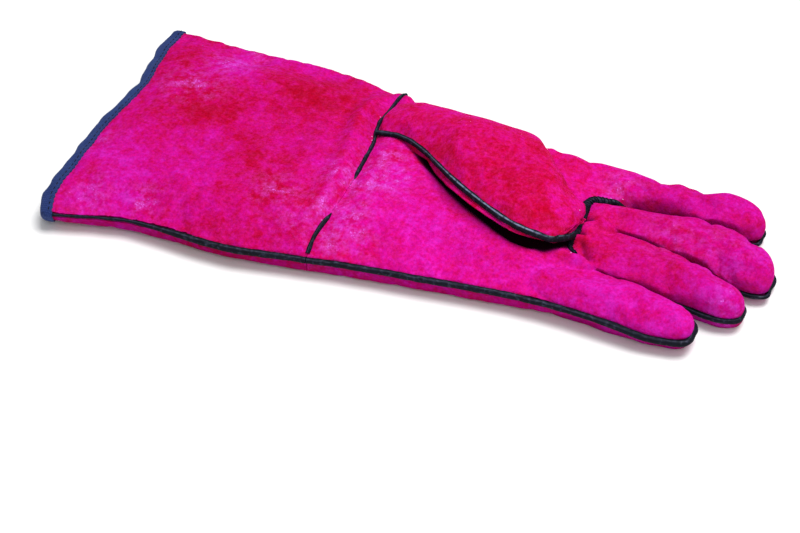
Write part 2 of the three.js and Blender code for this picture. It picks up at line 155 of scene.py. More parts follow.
# The thumb's near edge on the plan, and how high it lies along x
THUMB_EDGE = [rib.near[:2] for rib in THUMB_RIBS]
THUMB_EDGE_HEIGHTS = [(rib.near[0], rib.near[2]) for rib in THUMB_RIBS]

# The ends of the wrist seam, and the seam at the base of the middle and ring fingers
WRIST_NEAR = (149, -69.7)
WRIST_FAR = (154, 82)
BASE_SEAM = [
    (298, 34), (294, 32.3), (290, 30.6), (286.7, 27.4), (285, 20.5), (286, 13),
    (287, 6), (287.6, -1), (287, -7), (286.8, -11), (288.5, -15), (292.5, -18.5),
]

RING_SIDES = 32
# The rings of a tip lie at these angles of a quarter turn and shrink with this power of its cosine
TIP_ANGLES = (28, 54, 74, 84)
TIP_ROUNDNESS = 0.8
# How deep the underside of a ring hangs and how wide it is, in shares of its upper half
BODY_BELLY = 1.9
BODY_FULLNESS = 1.06
FINGER_FULLNESS = 0.82
THUMB_BELLY = 0.52
THUMB_FULLNESS = 1.14
# How far each side of a finger lies inside its section
FINGER_SLIMMING = 0.5
FINGER_START = 300
MOUTH_CUT = -2.5
VOXEL = 2.0

# The simulated leather: its pressure, how much it grows, and how far a point may move, also
# sideways in the gaps between the fingers
PUFF_PRESSURE = 4
PUFF_FRAMES = 16
SKIN_GROWTH = 0.01
SKIN_CAP = 3.0
THUMB_GROWTH = 0.015
THUMB_CAP = 1.4
GAP_CAP = 1.1
PINNED = "pinned"


def place(x, y, z=0):
    """A point of the glove's plan, in metres in the frame."""
    return Vector((MOUTH_X + x * MM, MIDDLE_Y + y * MM, z * MM))


def plan_of(points):
    """The tables' millimetres of points in metres in the frame."""
    return (np.asarray(points) - np.array(place(0, 0))) / MM


def bump(distance, width):
    """A soft bell of height 1 that fades over width."""
    return np.exp(-((distance / width) ** 2))


def fade(value, start, end):
    """0 before start and 1 after end, smoothly in between."""
    share = np.clip((value - start) / (end - start), 0, 1)
    return share * share * (3 - 2 * share)


def table_at(table, value):
    """The second column of a table, read at a value of its first, straight between the rows."""
    return np.interp(value, [row[0] for row in table], [row[1] for row in table])


def distance_to_line(plan, line):
    """How far each point lies from a line through the plan, in millimetres."""
    best = np.full(len(plan), np.inf)
    for start, end in zip(line[:-1], line[1:]):
        start = np.array(start, float)
        step = np.array(end, float) - start
        share = np.clip(((plan[:, :2] - start) @ step) / np.linalg.norm(step) ** 2, 0, 1)
        gap = np.linalg.norm(plan[:, :2] - start - share[:, None] * step, axis=1)
        best = np.minimum(best, gap)
    return best


def wrist_x(y):
    """Where the straight line of the wrist seam lies along x."""
    share = (y - WRIST_NEAR[1]) / (WRIST_FAR[1] - WRIST_NEAR[1])
    return WRIST_NEAR[0] + (WRIST_FAR[0] - WRIST_NEAR[0]) * share


def wrist_ahead():
    """The direction from the wrist seam towards the hand, square to the seam."""
    along = place(*WRIST_FAR) - place(*WRIST_NEAR)
    return Vector((along.y, -along.x, 0)).normalized()


def base_seam_x(y):
    """Where the seam at the base of the fingers lies along x."""
    return np.interp(y, [point[1] for point in BASE_SEAM][::-1], [point[0] for point in BASE_SEAM][::-1])


def pick(piece):
    """Makes a piece the only selected one and the active one."""
    bpy.ops.object.select_all(action="DESELECT")
    piece.select_set(True)
    bpy.context.view_layer.objects.active = piece


def open_up(piece, kind="VERT"):
    """Enters edit mode with nothing selected."""
    pick(piece)
    bpy.ops.object.mode_set(mode="EDIT")
    bpy.ops.mesh.select_mode(type=kind)
    bpy.ops.mesh.select_all(action="DESELECT")


def close_up():
    bpy.ops.object.mode_set(mode="OBJECT")


def select_points(piece, test):
    """Selects the vertices whose place passes a test, in edit mode."""
    mesh = bmesh.from_edit_mesh(piece.data)
    for vertex in mesh.verts:
        vertex.select = test(vertex.co)
    mesh.select_flush(True)
    bmesh.update_edit_mesh(piece.data)


def select_faces(piece, test):
    """Selects the faces whose middle passes a test, in edit mode."""
    mesh = bmesh.from_edit_mesh(piece.data)
    for face in mesh.faces:
        face.select = test(face.calc_center_median())
    mesh.select_flush(False)
    bmesh.update_edit_mesh(piece.data)


def apply_modifier(piece, kind, **settings):
    modifier = piece.modifiers.new(kind.lower(), kind)
    for name, value in settings.items():
        setattr(modifier, name, value)
    pick(piece)
    bpy.ops.object.modifier_apply(modifier=modifier.name)


def refine(piece, levels=1):
    apply_modifier(piece, "SUBSURF", levels=levels, render_levels=levels)


def join(pieces, name):
    """Makes several pieces one, in the place of the first."""
    pick(pieces[0])
    for piece in pieces:
        piece.select_set(True)
    bpy.ops.object.join()
    whole = bpy.context.object
    whole.name = name
    return whole


def copy_of(piece, name):
    pick(piece)
    bpy.ops.object.duplicate()
    twin = bpy.context.object
    twin.name = name
    return twin


def tree_of(piece):
    """A piece's faces, laid out for rays and for the nearest point."""
    return BVHTree.FromObject(piece, bpy.context.evaluated_depsgraph_get())


def points_of(piece):
    flat = np.empty(len(piece.data.vertices) * 3)
    piece.data.vertices.foreach_get("co", flat)
    return flat.reshape(-1, 3)


def normals_of(piece):
    flat = np.empty(len(piece.data.vertices) * 3, np.float32)
    piece.data.vertex_normals.foreach_get("vector", flat)
    return flat.reshape(-1, 3).astype(float)


def move_points(piece, points):
    piece.data.vertices.foreach_set("co", points.ravel())
    piece.data.update()


def body_ring(section, shrink=1, slimming=0):
    """A section of the cuff, hand or a finger as a ring, made smaller by a share."""
    centre = place(section.x, (section.near + section.far) / 2, SEAM_HEIGHT)
    half = ((section.far - section.near) / 2 - slimming) * MM * shrink
    return Ring(centre, half, (section.crown - SEAM_HEIGHT) * MM * shrink, 0, 0)


def finger_rings(finger):
    """A finger's rings, with those that round off its tip."""
    rings = [body_ring(section, 1, FINGER_SLIMMING) for section in finger.sections]
    last = finger.sections[-1]
    turn = finger.tip_y - (last.near + last.far) / 2
    for degrees in TIP_ANGLES:
        angle = math.radians(degrees)
        along = math.sin(angle)
        section = Section(
            last.x + (finger.tip_x - last.x) * along,
            last.near + turn * along,
            last.far + turn * along,
            last.crown,
        )
        rings.append(body_ring(section, math.cos(angle) ** TIP_ROUNDNESS, FINGER_SLIMMING))
    return rings


def thumb_rings():
    """The thumb's rings, each tilted and turned with its rib, and those of its blunt tip."""
    rings = []
    for rib in THUMB_RIBS:
        near = place(*rib.near)
        far = place(*rib.far)
        across = far - near
        flat = math.hypot(across.x, across.y)
        tilt = math.atan2(across.z, flat)
        turn = math.atan2(-across.x, across.y)
        centre = (near + far) / 2
        rise = (rib.crown * MM - centre.z) * math.cos(tilt)
        rings.append(Ring(centre, across.length / 2, rise, tilt, turn))
    last = rings[-1]
    for degrees in TIP_ANGLES:
        angle = math.radians(degrees)
        shrink = math.cos(angle) ** TIP_ROUNDNESS
        centre = last.centre + Vector((THUMB_TIP_LENGTH * MM * math.sin(angle), 0, 0))
        rings.append(Ring(centre, last.half * shrink, last.rise * shrink, last.tilt, last.turn))
    return rings


def select_lower(mesh, height):
    """Keeps only the selected points under a height selected."""
    for vertex in mesh.verts:
        vertex.select = vertex.select and vertex.co.z < height
    mesh.select_flush(True)


def add_ring(piece, ring, belly, fullness):
    """A ring in the open mesh of a limb, with its underside hung, widened, tilted and turned."""
    bpy.ops.mesh.select_all(action="DESELECT")
    bpy.ops.mesh.primitive_circle_add(
        vertices=RING_SIDES, radius=MM, location=ring.centre, rotation=(0, -math.pi / 2, 0)
    )
    bpy.ops.transform.resize(value=(1, ring.half / MM, ring.rise / MM), center_override=ring.centre)
    mesh = bmesh.from_edit_mesh(piece.data)
    whole = [vertex.index for vertex in mesh.verts if vertex.select]
    select_lower(mesh, ring.centre.z)
    bpy.ops.transform.resize(value=(1, 1, belly), center_override=ring.centre)
    select_lower(bmesh.from_edit_mesh(piece.data), ring.centre.z - ring.rise * belly / 3)
    bpy.ops.transform.resize(value=(1, fullness, 1), center_override=ring.centre)
    mesh = bmesh.from_edit_mesh(piece.data)
    mesh.verts.ensure_lookup_table()
    for index in whole:
        mesh.verts[index].select = True
    mesh.select_flush(True)
    for axis, angle in (("X", ring.tilt), ("Z", ring.turn)):
        bpy.ops.transform.rotate(value=-angle, orient_axis=axis, center_override=ring.centre)


def limb(name, rings, belly, fullness, cuts):
    """A closed tube of leather bridged through rings; belly is how deep they hang below the seam,
    and fullness how much the underside is widened."""
    bpy.ops.object.select_all(action="DESELECT")
    bpy.ops.mesh.primitive_circle_add(vertices=RING_SIDES, enter_editmode=True)
    bpy.ops.mesh.delete(type="VERT")
    piece = bpy.context.object
    piece.name = name
    for ring in rings:
        add_ring(piece, ring, belly, fullness)
    bpy.ops.mesh.select_all(action="SELECT")
    bpy.ops.mesh.bridge_edge_loops(number_cuts=cuts, interpolation="LINEAR")
    bpy.ops.mesh.select_all(action="SELECT")
    bpy.ops.mesh.fill_holes(sides=RING_SIDES)
    bpy.ops.mesh.select_all(action="SELECT")
    bpy.ops.mesh.normals_make_consistent(inside=False)
    close_up()
    return piece


def flatten_on_floor(piece):
    open_up(piece)
    select_points(piece, lambda point: point.z < 0)
    bpy.ops.transform.resize(value=(1, 1, 0), center_override=(0, 0, 0))
    close_up()


def cut(piece, point, normal):
    """Cuts a piece through with a plane and keeps what lies on the side of its normal."""
    open_up(piece)
    bpy.ops.mesh.select_all(action="SELECT")
    bpy.ops.mesh.bisect(plane_co=point, plane_no=normal, clear_inner=True)
    close_up()


def glove_skin():
    """Cuff, hand and fingers as one closed skin of even faces."""
    body = [body_ring(section) for section in BODY_SECTIONS]
    limbs = [limb("glove_skin", body, BODY_BELLY, BODY_FULLNESS, 0)]
    for name, finger in FINGERS.items():
        limbs.append(limb(name, finger_rings(finger), BODY_BELLY, FINGER_FULLNESS, 0))
    for piece in limbs:
        flatten_on_floor(piece)
        refine(piece, 2)
    skin = join(limbs, "glove_skin")
    skin.data.remesh_voxel_size = VOXEL * MM
    pick(skin)
    bpy.ops.object.voxel_remesh()
    cut(skin, place(MOUTH_CUT, 0), (1, 0, 0))
    return skin


def pin(piece, held):
    """Names the points of a piece that the simulation leaves where they are."""
    group = piece.vertex_groups.new(name=PINNED)
    group.add(held, 1.0, "REPLACE")


def pin_seams(skin):
    """Pins the seams, the mouth and what lies on the floor."""
    plan = plan_of(points_of(skin))
    x, y, z = plan.T
    reach = VOXEL * 0.6
    side = (abs(z - SEAM_HEIGHT) < reach) & (abs(normals_of(skin)[:, 2]) < 0.8)
    top = z > SEAM_HEIGHT + 2
    wrist = (abs(x - wrist_x(y)) < reach) & top
    base = (distance_to_line(plan, BASE_SEAM) < reach) & top
    mouth = x < -1
    floor = z < 0.4
    pin(skin, np.flatnonzero(side | wrist | base | mouth | floor).tolist())


def puff(piece, growth, cap):
    """Blows the leather up a little between its seams, and caps how far a point may move."""
    before = points_of(piece)
    modifier = piece.modifiers.new("cloth", "CLOTH")
    settings = modifier.settings
    settings.quality = 6
    settings.mass = 0.4
    settings.tension_stiffness = 30
    settings.compression_stiffness = 30
    settings.shear_stiffness = 10
    settings.bending_stiffness = 4
    settings.tension_damping = 10
    settings.compression_damping = 10
    settings.shear_damping = 10
    settings.air_damping = 2
    settings.shrink_min = -growth
    settings.use_pressure = True
    settings.uniform_pressure_force = PUFF_PRESSURE
    settings.vertex_group_mass = PINNED
    settings.effector_weights.gravity = 0
    modifier.collision_settings.use_collision = False
    scene = bpy.context.scene
    for frame_number in range(1, PUFF_FRAMES + 1):
        scene.frame_set(frame_number)
    pick(piece)
    bpy.ops.object.modifier_apply(modifier=modifier.name)
    scene.frame_set(1)
    moved = points_of(piece) - before
    far = np.linalg.norm(moved, axis=1)
    moved *= np.minimum(1, cap * MM / np.maximum(far, 1e-9))[:, None]
    beside_gap = plan_of(before)[:, 0] > FINGER_START
    moved[beside_gap, 1] = np.clip(moved[beside_gap, 1], -GAP_CAP * MM, GAP_CAP * MM)
    after = before + moved
    after[:, 2] = np.maximum(after[:, 2], 0)
    move_points(piece, after)


# How far the mouth and the wrist seam stray along x from their straight lines, at each place along y
MOUTH_WAVE = [
    (-95, 1), (-87, -3), (-77, -6), (-66, -6), (-55, -4.8), (-38, -4.2),
    (-15, -4), (6, -0.8), (31, 1.8), (51, -1.2), (72, -4), (95, -3.5),
]
WRIST_WAVE = [
    (-70, 2), (-60, 1.3), (-50, 1.8), (-41, 3.2), (-25, 4), (-8, 3.8), (8, 2.5),
    (18, 1.6), (28, 0), (37, -3), (48, -5.2), (65, -4.3), (82, -1),
]
WRIST_WAVE_REACH = 24
# Lumps of the index finger's outer edge, along x
INDEX_WAVE = [
    (285, 0), (301, 0.8), (310, -0.6), (318, -1.2), (329, 1.4),
    (336, 1.6), (345, -2), (355, 0.8), (366, 0.3), (380, 0),
]

# Folds and swells (below 0) of the leather's top, each along a line on the plan
Fold = namedtuple("Fold", "line width depth")
FOLDS = [
    Fold([(141, 62), (140, 30), (144, 0), (143, -30), (143, -55)], 5, -2.2),
    Fold([(131, 74), (129, 40), (133, 5), (131, -30)], 6, 1.5),
    Fold([(159, -6), (157, -22), (154, -36)], 4, -1.2),
    Fold([(288, 9), (292, 9.3), (296, 9.7)], 1.6, 2.2),
    Fold([(297, 10), (312, 10), (330, 7.9), (352, 4.6), (366, 0.5)], 4.4, -4.6),
    Fold([(338, 38.2), (352, 39.3), (368, 38)], 4.4, -5),
    Fold([(293.5, -9.5), (297, -14.5), (300.5, -19)], 1.8, 3.2),
    Fold([(286, -22), (298, -23.5), (307, -24.5)], 4, -3.6),
    Fold([(307, -24.5), (330, -25.5), (346, -27)], 4, -3.4),
    Fold([(364, 5), (376, 5.5), (388, 6.5)], 3.4, 1.9),
    Fold([(298, 34), (306, 35.3), (322, 36)], 2.0, 3.5),
    Fold([(294, -39), (306, -34), (318, -35)], 3.4, 1.6),
    Fold([(316, -50), (328, -43), (336, -44)], 3, 1.3),
    Fold([(332, -54), (343, -46)], 3, 1.1),
    Fold([(352, 25), (362, 19), (368, 12)], 3.2, 1.6),
    Fold([(336, 20), (346, 25), (352, 31)], 3.2, 1.2),
    Fold([(308, 24), (322, 21), (334, 23)], 4, -1.1),
    Fold([(318, -8), (330, -6), (342, -10)], 3.6, 1.2),
    Fold([(350, -12), (360, -20)], 3, 1.0),
    Fold([(298, 55), (311, 45)], 3.4, 1.3),
    Fold([(334, 60), (344, 48)], 3.2, 1.3),
    Fold([(318, 62), (326, 54)], 3, 0.9),
    Fold([(190, -30), (215, -42), (245, -46)], 8, 1.1),
    Fold([(250, -36), (268, -44), (290, -46)], 6, 1.0),
    Fold([(60, -20), (85, 5), (110, 10)], 12, 1.4),
    Fold([(20, 30), (55, 50), (95, 55)], 11, -1.2),
    Fold([(25, -55), (60, -52), (100, -60)], 10, -1.3),
    Fold([(75, -45), (95, -40), (118, -52)], 7, 0.9),
    Fold([(36, 70), (62, 76), (90, 72)], 7, 0.9),
]
# The deep fold in the palm under the thumb
THUMB_SHADE = [
    (176, 29), (188, 21), (201, 12), (215, 2.5), (229, -6.5), (241, -13),
    (250, -17.8), (258, -20), (266, -20.6), (272.5, -19.2), (279, -15.5), (284, -11),
]
THUMB_FOLD_DEPTHS = [(168, 0), (185, 5), (205, 9), (262, 9), (274, 5), (284, 2)]
THUMB_FOLD_WIDTH = 5.0
# Where the leather bulges over what is folded or gathered below it
Mound = namedtuple("Mound", "x y long wide height")
MOUNDS = [
    Mound(249, 62, 12, 13, 10),
    Mound(264, 60, 18, 14, 6.8),
    Mound(284, 55, 16, 12, 1.6),
    Mound(293.5, 19, 6, 8, 2),
    Mound(292, 3, 5, 5, 3),
    Mound(290.5, -6.5, 4, 3.5, 2.6),
    Mound(296, -25, 7, 7, 1.6),
    Mound(157, 77, 13, 12, 8),
    Mound(225, -32, 40, 20, 1.5),
    Mound(60, 62, 40, 24, 1.2),
    Mound(95, -55, 40, 20, 1.4),
]
# Where the gathered leather of the fingers puffs out over their seam
Puff = namedtuple("Puff", "y wide reach")
PUFFS = [
    Puff(18, 6.5, 0.5),
    Puff(2.8, 4.2, 1.8),
    Puff(-7.5, 3, 2.2),
]
PUFF_CENTRE = 2.5
# The gathers that run from that seam into the fingers
Gather = namedtuple("Gather", "y length depth width")
GATHER_SLANT = 0.04
GATHERS = [
    Gather(28, 6, 1.4, 1.2),
    Gather(22.5, 5, 0.8, 1.0),
    Gather(17, 6, 1.2, 1.2),
    Gather(9, 9, 3.4, 1.5),
    Gather(3, 6, 1.2, 1.2),
    Gather(-3.5, 9, 3.6, 1.6),
    Gather(-10, 8, 2.4, 1.5),
    Gather(-15, 6, 1.4, 1.3),
]
# How far the top of each inner side of the fingers swells over its seam, along x
SideSwell = namedtuple("SideSwell", "finger side height swells")
SIDE_SWELLS = [
    SideSwell("middle", "near", 19.5, [(290, 0), (300, 0.6), (310, 3), (366, 3), (382, 1), (400, 0)]),
    SideSwell("ring", "far", 19.5, [(290, 0), (300, 0.6), (310, 3.6), (366, 3.4), (382, 1), (391, 0)]),
    SideSwell("middle", "far", 20, [(320, 0), (338, 1.6), (350, 3.6), (372, 3.8), (390, 1.5), (400, 0)]),
    SideSwell("index", "near", 19, [(320, 0), (338, 1.2), (350, 3.4), (370, 3.6), (383, 0)]),
    SideSwell("ring", "near", 17.5, [(298, 0), (305, 1.6), (311, 3), (328, 3), (342, 1.2), (385, 0.8)]),
    SideSwell("little", "far", 17.5, [(298, 0), (305, 1.6), (311, 3), (328, 3), (342, 1.2), (365, 0.8)]),
]
SWELL_WIDTH = 4.5
# How far the seam of each fingertip is drawn in under the leather, at each place along y
TIP_TUCKS = [(-45, 1.4), (-16, 1.5), (0, 2.4), (12, 3), (52, 3.1)]
TIP_TUCK_WIDTH = 4.5
# By what share the underside of each fingertip is drawn in
BOTTOM_TUCKS = {"little": 0.16, "ring": 0.06, "middle": 0.26, "index": 0.28}
# The creases that the wrist seam and the seam at the base of the fingers draw into the leather
WRIST_CREASE_DEPTH = 1.3
WRIST_CREASE_WIDTH = 3.4
BASE_CREASE_DEPTH = 1.4
BASE_CREASE_WIDTH = 2.8
# The rounded rim inside the far edge of the cuff
RIM_HEIGHT = 2.3
RIM_INSET = 4
RIM_WIDTH = 4.5
# How far the side seams draw the leather in; by the mouth the near one is loose and stands out
SIDE_PINCH = 0.7
SIDE_PINCH_WIDTH = 2.6
LOOSE_SWELL = 1.7
LOOSE_RISE = 1.5
# How far the leather of the cuff swells over its far seam
FAR_SWELL = 1.2


def tip_tuck(x, y):
    """How far the seam of a fingertip is drawn in at a place on the plan."""
    return table_at(TIP_TUCKS, y) * fade(x, 338, 362)


def swell_sides(plan, normals):
    """Sideways shift that lays the tops of neighbouring fingers against each other."""
    x, y, z = plan.T
    shift = np.zeros(len(plan))
    for swell in SIDE_SWELLS:
        sections = FINGERS[swell.finger].sections
        xs = [section.x for section in sections] + [FINGERS[swell.finger].tip_x]
        edges = [getattr(section, swell.side) for section in sections]
        edge = np.interp(x, xs, edges + [FINGERS[swell.finger].tip_y])
        outward = 1 if swell.side == "far" else -1
        facing = fade(normals[:, 1] * outward, 0.1, 0.6)
        here = (1 - fade(abs(y - edge), 5, 8)) * bump(z - swell.height, SWELL_WIDTH)
        shift += outward * table_at(swell.swells, x) * facing * here
    return shift


def tuck_bottoms(points):
    """The underside of each fingertip drawn in, so that little of it shows below the seam."""
    for name, share in BOTTOM_TUCKS.items():
        x, y, z = plan_of(points).T
        last = FINGERS[name].sections[-1]
        beside = (y > last.near - 5) & (y < last.far + 3)
        under = 1 - fade(z, SEAM_HEIGHT - 7, SEAM_HEIGHT - 3)
        weight = share * fade(x, last.x - 14, last.x) * under * beside
        points[:, 0] -= np.maximum(x - last.x, 0) * weight * MM
        points[:, 1] -= (y - FINGERS[name].tip_y) * weight * MM


def let_down(plan):
    """How far the seams, folds and gathers lower the top of the leather, less what bulges."""
    x, y, z = plan.T
    top = fade(z, SEAM_HEIGHT + 1, SEAM_HEIGHT + 5)
    down = WRIST_CREASE_DEPTH * bump(x - wrist_x(y), WRIST_CREASE_WIDTH) * top
    down += BASE_CREASE_DEPTH * bump(distance_to_line(plan, BASE_SEAM), BASE_CREASE_WIDTH) * top
    for fold in FOLDS:
        down += fold.depth * bump(distance_to_line(plan, fold.line), fold.width) * top
    under_thumb = bump(distance_to_line(plan, THUMB_SHADE), THUMB_FOLD_WIDTH)
    down += table_at(THUMB_FOLD_DEPTHS, x) * under_thumb * top
    for gather in GATHERS:
        ahead = x - base_seam_x(gather.y)
        strength = fade(ahead, -0.5, 1.5) * np.exp(-np.maximum(ahead, 0) / (gather.length * 0.6))
        across = bump(y - gather.y - GATHER_SLANT * ahead, gather.width)
        down += gather.depth * across * strength * top
    for mound in MOUNDS:
        rise = bump(np.hypot((x - mound.x) / mound.long, (y - mound.y) / mound.wide), 1)
        down -= mound.height * rise * fade(z, SEAM_HEIGHT, SEAM_HEIGHT + 5)
    inside = table_at([(section.x, section.far) for section in BODY_SECTIONS], x) - y - RIM_INSET
    rim = RIM_HEIGHT * bump(inside, RIM_WIDTH) * (1 - fade(x, 120, 150))
    return down - rim * fade(z, SEAM_HEIGHT, SEAM_HEIGHT + 2)


def puffed_back(plan):
    """How far the gathered leather of the fingers leans back over the seam at their base."""
    x, y, z = plan.T
    lean = np.zeros(len(plan))
    for one in PUFFS:
        lean += one.reach * bump(y - one.y, one.wide) * bump(x - base_seam_x(one.y) - PUFF_CENTRE, 2)
    return lean * fade(z, SEAM_HEIGHT + 1, SEAM_HEIGHT + 5)


def pinched(plan, normals):
    """How far the side seams draw the leather in, along its normal on the plan."""
    x, y, z = plan.T
    upright = fade(1 - abs(normals[:, 2]), 0.1, 0.5)
    loose = (1 - fade(x, 48, 75)) * (y < 0)
    pinch = (SIDE_PINCH - LOOSE_SWELL * loose) * bump(z - SEAM_HEIGHT - LOOSE_RISE * loose, SIDE_PINCH_WIDTH)
    return (pinch + tip_tuck(x, y) * bump(z - SEAM_HEIGHT, TIP_TUCK_WIDTH)) * upright


def shape_skin(skin):
    """The seams drawn in, and the mounds, folds and gathers, pressed into the leather."""
    points = points_of(skin)
    normals = normals_of(skin)
    plan = plan_of(points)
    x, y, z = plan.T
    points[:, 0] -= puffed_back(plan) * MM
    points[:, 2] -= let_down(plan) * MM
    flat = normals[:, :2] / np.maximum(np.linalg.norm(normals[:, :2], axis=1), 1e-6)[:, None]
    points[:, :2] -= flat * (pinched(plan, normals) * MM)[:, None]
    over_far = FAR_SWELL * (1 - fade(x, 130, 150)) * fade(y, 60, 85) * bump(z - SEAM_HEIGHT - 4, 3)
    lumps = table_at(INDEX_WAVE, x) * fade(y, 45, 60)
    points[:, 1] += (swell_sides(plan, normals) + over_far + lumps) * MM
    tuck_bottoms(points)
    move_points(skin, points)


def ruffle(piece, name, size, strength, coords):
    """Moves the surface in and out by a soft cloud pattern."""
    texture = bpy.data.textures.new(name, "CLOUDS")
    texture.noise_scale = size
    settings = {"strength": strength * MM, "mid_level": 0.5, "texture_coords": coords}
    apply_modifier(piece, "DISPLACE", texture=texture, **settings)


def roughen(piece):
    """The slight unevenness of soft split leather."""
    for name, size, strength in (("dents", 0.026, 1.2), ("lumps", 0.012, 0.3)):
        ruffle(piece, name, size, strength, "GLOBAL")
    points = points_of(piece)
    points[:, 2] = np.maximum(points[:, 2], 0)
    move_points(piece, points)


# How far the seam of each fingertip has dropped, at each place along y
TIP_DROPS = [(-45, 2.8), (-30, 3.4), (-16, 4.4), (0, 5.8), (12, 7.2), (52, 6.8)]


def sway(points):
    """Places moved with the wavy mouth, the wavy wrist seam and the dropped seam of the tips."""
    x, y, z = plan_of(points).T
    moved = np.array(points, float)
    share = np.minimum(z / SEAM_HEIGHT, 1) * (1 - fade(z, SEAM_HEIGHT, 23))
    moved[:, 2] -= table_at(TIP_DROPS, y) * MM * fade(x, 318, 356) * share
    moved[:, 0] += table_at(MOUTH_WAVE, y) * MM * (1 - fade(x, -4, 30))
    moved[:, 0] += table_at(WRIST_WAVE, y) * MM * bump(x - wrist_x(y), WRIST_WAVE_REACH)
    return moved


def sway_piece(piece):
    move_points(piece, sway(points_of(piece)))


def sway_route(route):
    return [Vector(point) for point in sway(route)]


def part_selected(piece, name):
    """Parts the selected faces from a piece, as a piece of their own."""
    bpy.ops.mesh.separate(type="SELECTED")
    close_up()
    taken = [other for other in bpy.context.selected_objects if other is not piece][0]
    taken.name = name
    return taken


def take_faces(piece, name, test):
    """Parts the faces whose middle passes a test from a piece."""
    open_up(piece, "FACE")
    select_faces(piece, test)
    return part_selected(piece, name)


def score(piece, line, reach):
    """Cuts edges into the leather along a line on the plan, without taking anything away."""
    for start, end in zip(line[:-1], line[1:]):
        low = place(*start)
        high = place(*end)
        step = high - low
        length = step.length
        step.normalize()
        normal = Vector((-step.y, step.x, 0))
        open_up(piece, "FACE")
        select_faces(piece, lambda point: (
            abs((point - low).dot(normal)) < reach * MM
            and -MM < (point - low).dot(step) < length + MM
        ))
        bpy.ops.mesh.bisect(plane_co=low, plane_no=normal)
        close_up()


def inside_outline(point, outline):
    """True where a place on the plan lies inside a closed outline."""
    x, y, _ = plan_of(point)
    inside = False
    for (ax, ay), (bx, by) in zip(outline, outline[1:] + outline[:1]):
        if (ay > y) != (by > y) and x < ax + (y - ay) / (by - ay) * (bx - ax):
            inside = not inside
    return inside


# The seam at the base of the middle and ring fingers, and a line round both of them
MIDDLE_FINGERS_OUTLINE = BASE_SEAM + [
    (305, -24), (330, -25.7), (352, -29), (420, -38), (420, 36), (330, 36),
]
# How far the leather stands back from the wrist seam on the palm side and on the back
PALM_WRIST_GAP = 0.08
BACK_WRIST_GAP = 0.2


def panels_of(skin):
    """The skin cut along its seams."""
    top = copy_of(skin, "palm_side")
    cut(top, place(0, 0, SEAM_HEIGHT + SEAM_HALF_GAP), (0, 0, 1))
    bottom = copy_of(skin, "back_side")
    cut(bottom, place(0, 0, SEAM_HEIGHT - SEAM_HALF_GAP), (0, 0, -1))
    ahead = wrist_ahead()
    seam = place(*WRIST_NEAR)
    panels = {}
    for half, cuff_name, hand_name, gap in (
        (top, "cuff_palm_leather", "palm_leather", PALM_WRIST_GAP),
        (bottom, "cuff_back_leather", "back_leather", BACK_WRIST_GAP),
    ):
        cuff = copy_of(half, cuff_name)
        cut(cuff, seam - ahead * gap * MM, -ahead)
        cut(half, seam + ahead * gap * MM, ahead)
        half.name = hand_name
        panels[cuff_name] = cuff
        panels[hand_name] = half
    palm = panels["palm_leather"]
    score(palm, BASE_SEAM, 3)
    panels["middle_fingers_leather"] = take_faces(
        palm, "middle_fingers_leather", lambda point: inside_outline(point, MIDDLE_FINGERS_OUTLINE)
    )
    return panels


# The tape folded over the mouth: where its edge lies, how far it reaches past the leather
TAPE_EDGE = 3
TAPE_AHEAD = 4.2
TAPE_THICKNESS = 1.1
STITCH_STEP = 3.4
STITCH_INSET = 1.7
# How far the stitches draw the tape's edge in, between one and the next
SCALLOP = 0.3


def binding_tape(skin):
    """Tape folded over the edge of the mouth, outside and inside the leather."""
    tape = copy_of(skin, "mouth_tape")
    cut(tape, place(TAPE_EDGE, 0), (-1, 0, 0))
    open_up(tape, "EDGE")
    bpy.ops.mesh.select_non_manifold()
    mesh = bmesh.from_edit_mesh(tape.data)
    inner = place(TAPE_EDGE - 1, 0).x
    for edge in mesh.edges:
        edge.select = edge.select and max(vertex.co.x for vertex in edge.verts) < inner
    mesh.select_flush(False)
    bpy.ops.mesh.extrude_region_move(TRANSFORM_OT_translate={"value": (-TAPE_AHEAD * MM, 0, 0)})
    close_up()
    whole = WALL + 2 * TAPE_THICKNESS
    thicken(tape, whole, 2 * TAPE_THICKNESS / whole - 1)
    open_up(tape)
    front = place(MOUTH_CUT + 0.6, 0).x
    select_points(tape, lambda point: point.x < front)
    bpy.ops.mesh.vertices_smooth(factor=0.5, repeat=10)
    close_up()
    points = points_of(tape)
    x, y, _ = plan_of(points).T
    scallop = SCALLOP * np.cos(2 * math.pi * y / STITCH_STEP) * fade(x, TAPE_EDGE - 1.6, TAPE_EDGE - 0.4)
    lumps = (0.4 * np.sin(y / 4.1) + 0.3 * np.sin(y / 2.3 + 1)) * (1 - fade(x, -5, -1))
    points[:, 0] += (scallop + lumps) * MM
    points[:, 2] = np.maximum(points[:, 2], 0)
    move_points(tape, points)
    return tape


def thicken(piece, thickness, offset=-1):
    """Gives a sheet its thickness, inwards unless an offset says otherwise."""
    apply_modifier(piece, "SOLIDIFY", thickness=thickness * MM, offset=offset)


# How near a point has to lie to count as on the thumb's seam, and as in the plane of a ring
SEAM_REACH = 0.05
RING_REACH = 0.01
# How deep the palm lies in the thumb, and each half of the thumb in the hand, where it is cut away
PALM_HIDDEN = 2.0
THUMB_FRONT_HIDDEN = 2.5
THUMB_BACK_HIDDEN = 1.0


def seam_ends(ring):
    """Where a ring's near and far ends lie."""
    across = Vector((
        -math.sin(ring.turn) * math.cos(ring.tilt),
        math.cos(ring.turn) * math.cos(ring.tilt),
        math.sin(ring.tilt),
    ))
    return ring.centre - across * ring.half, ring.centre + across * ring.half


def on_polyline(point, line, reach):
    """True for a point that lies within reach of a line through space."""
    for start, end in zip(line[:-1], line[1:]):
        step = end - start
        share = max(0, min(1, (point - start).dot(step) / step.length_squared))
        if (point - start - step * share).length < reach:
            return True
    return False


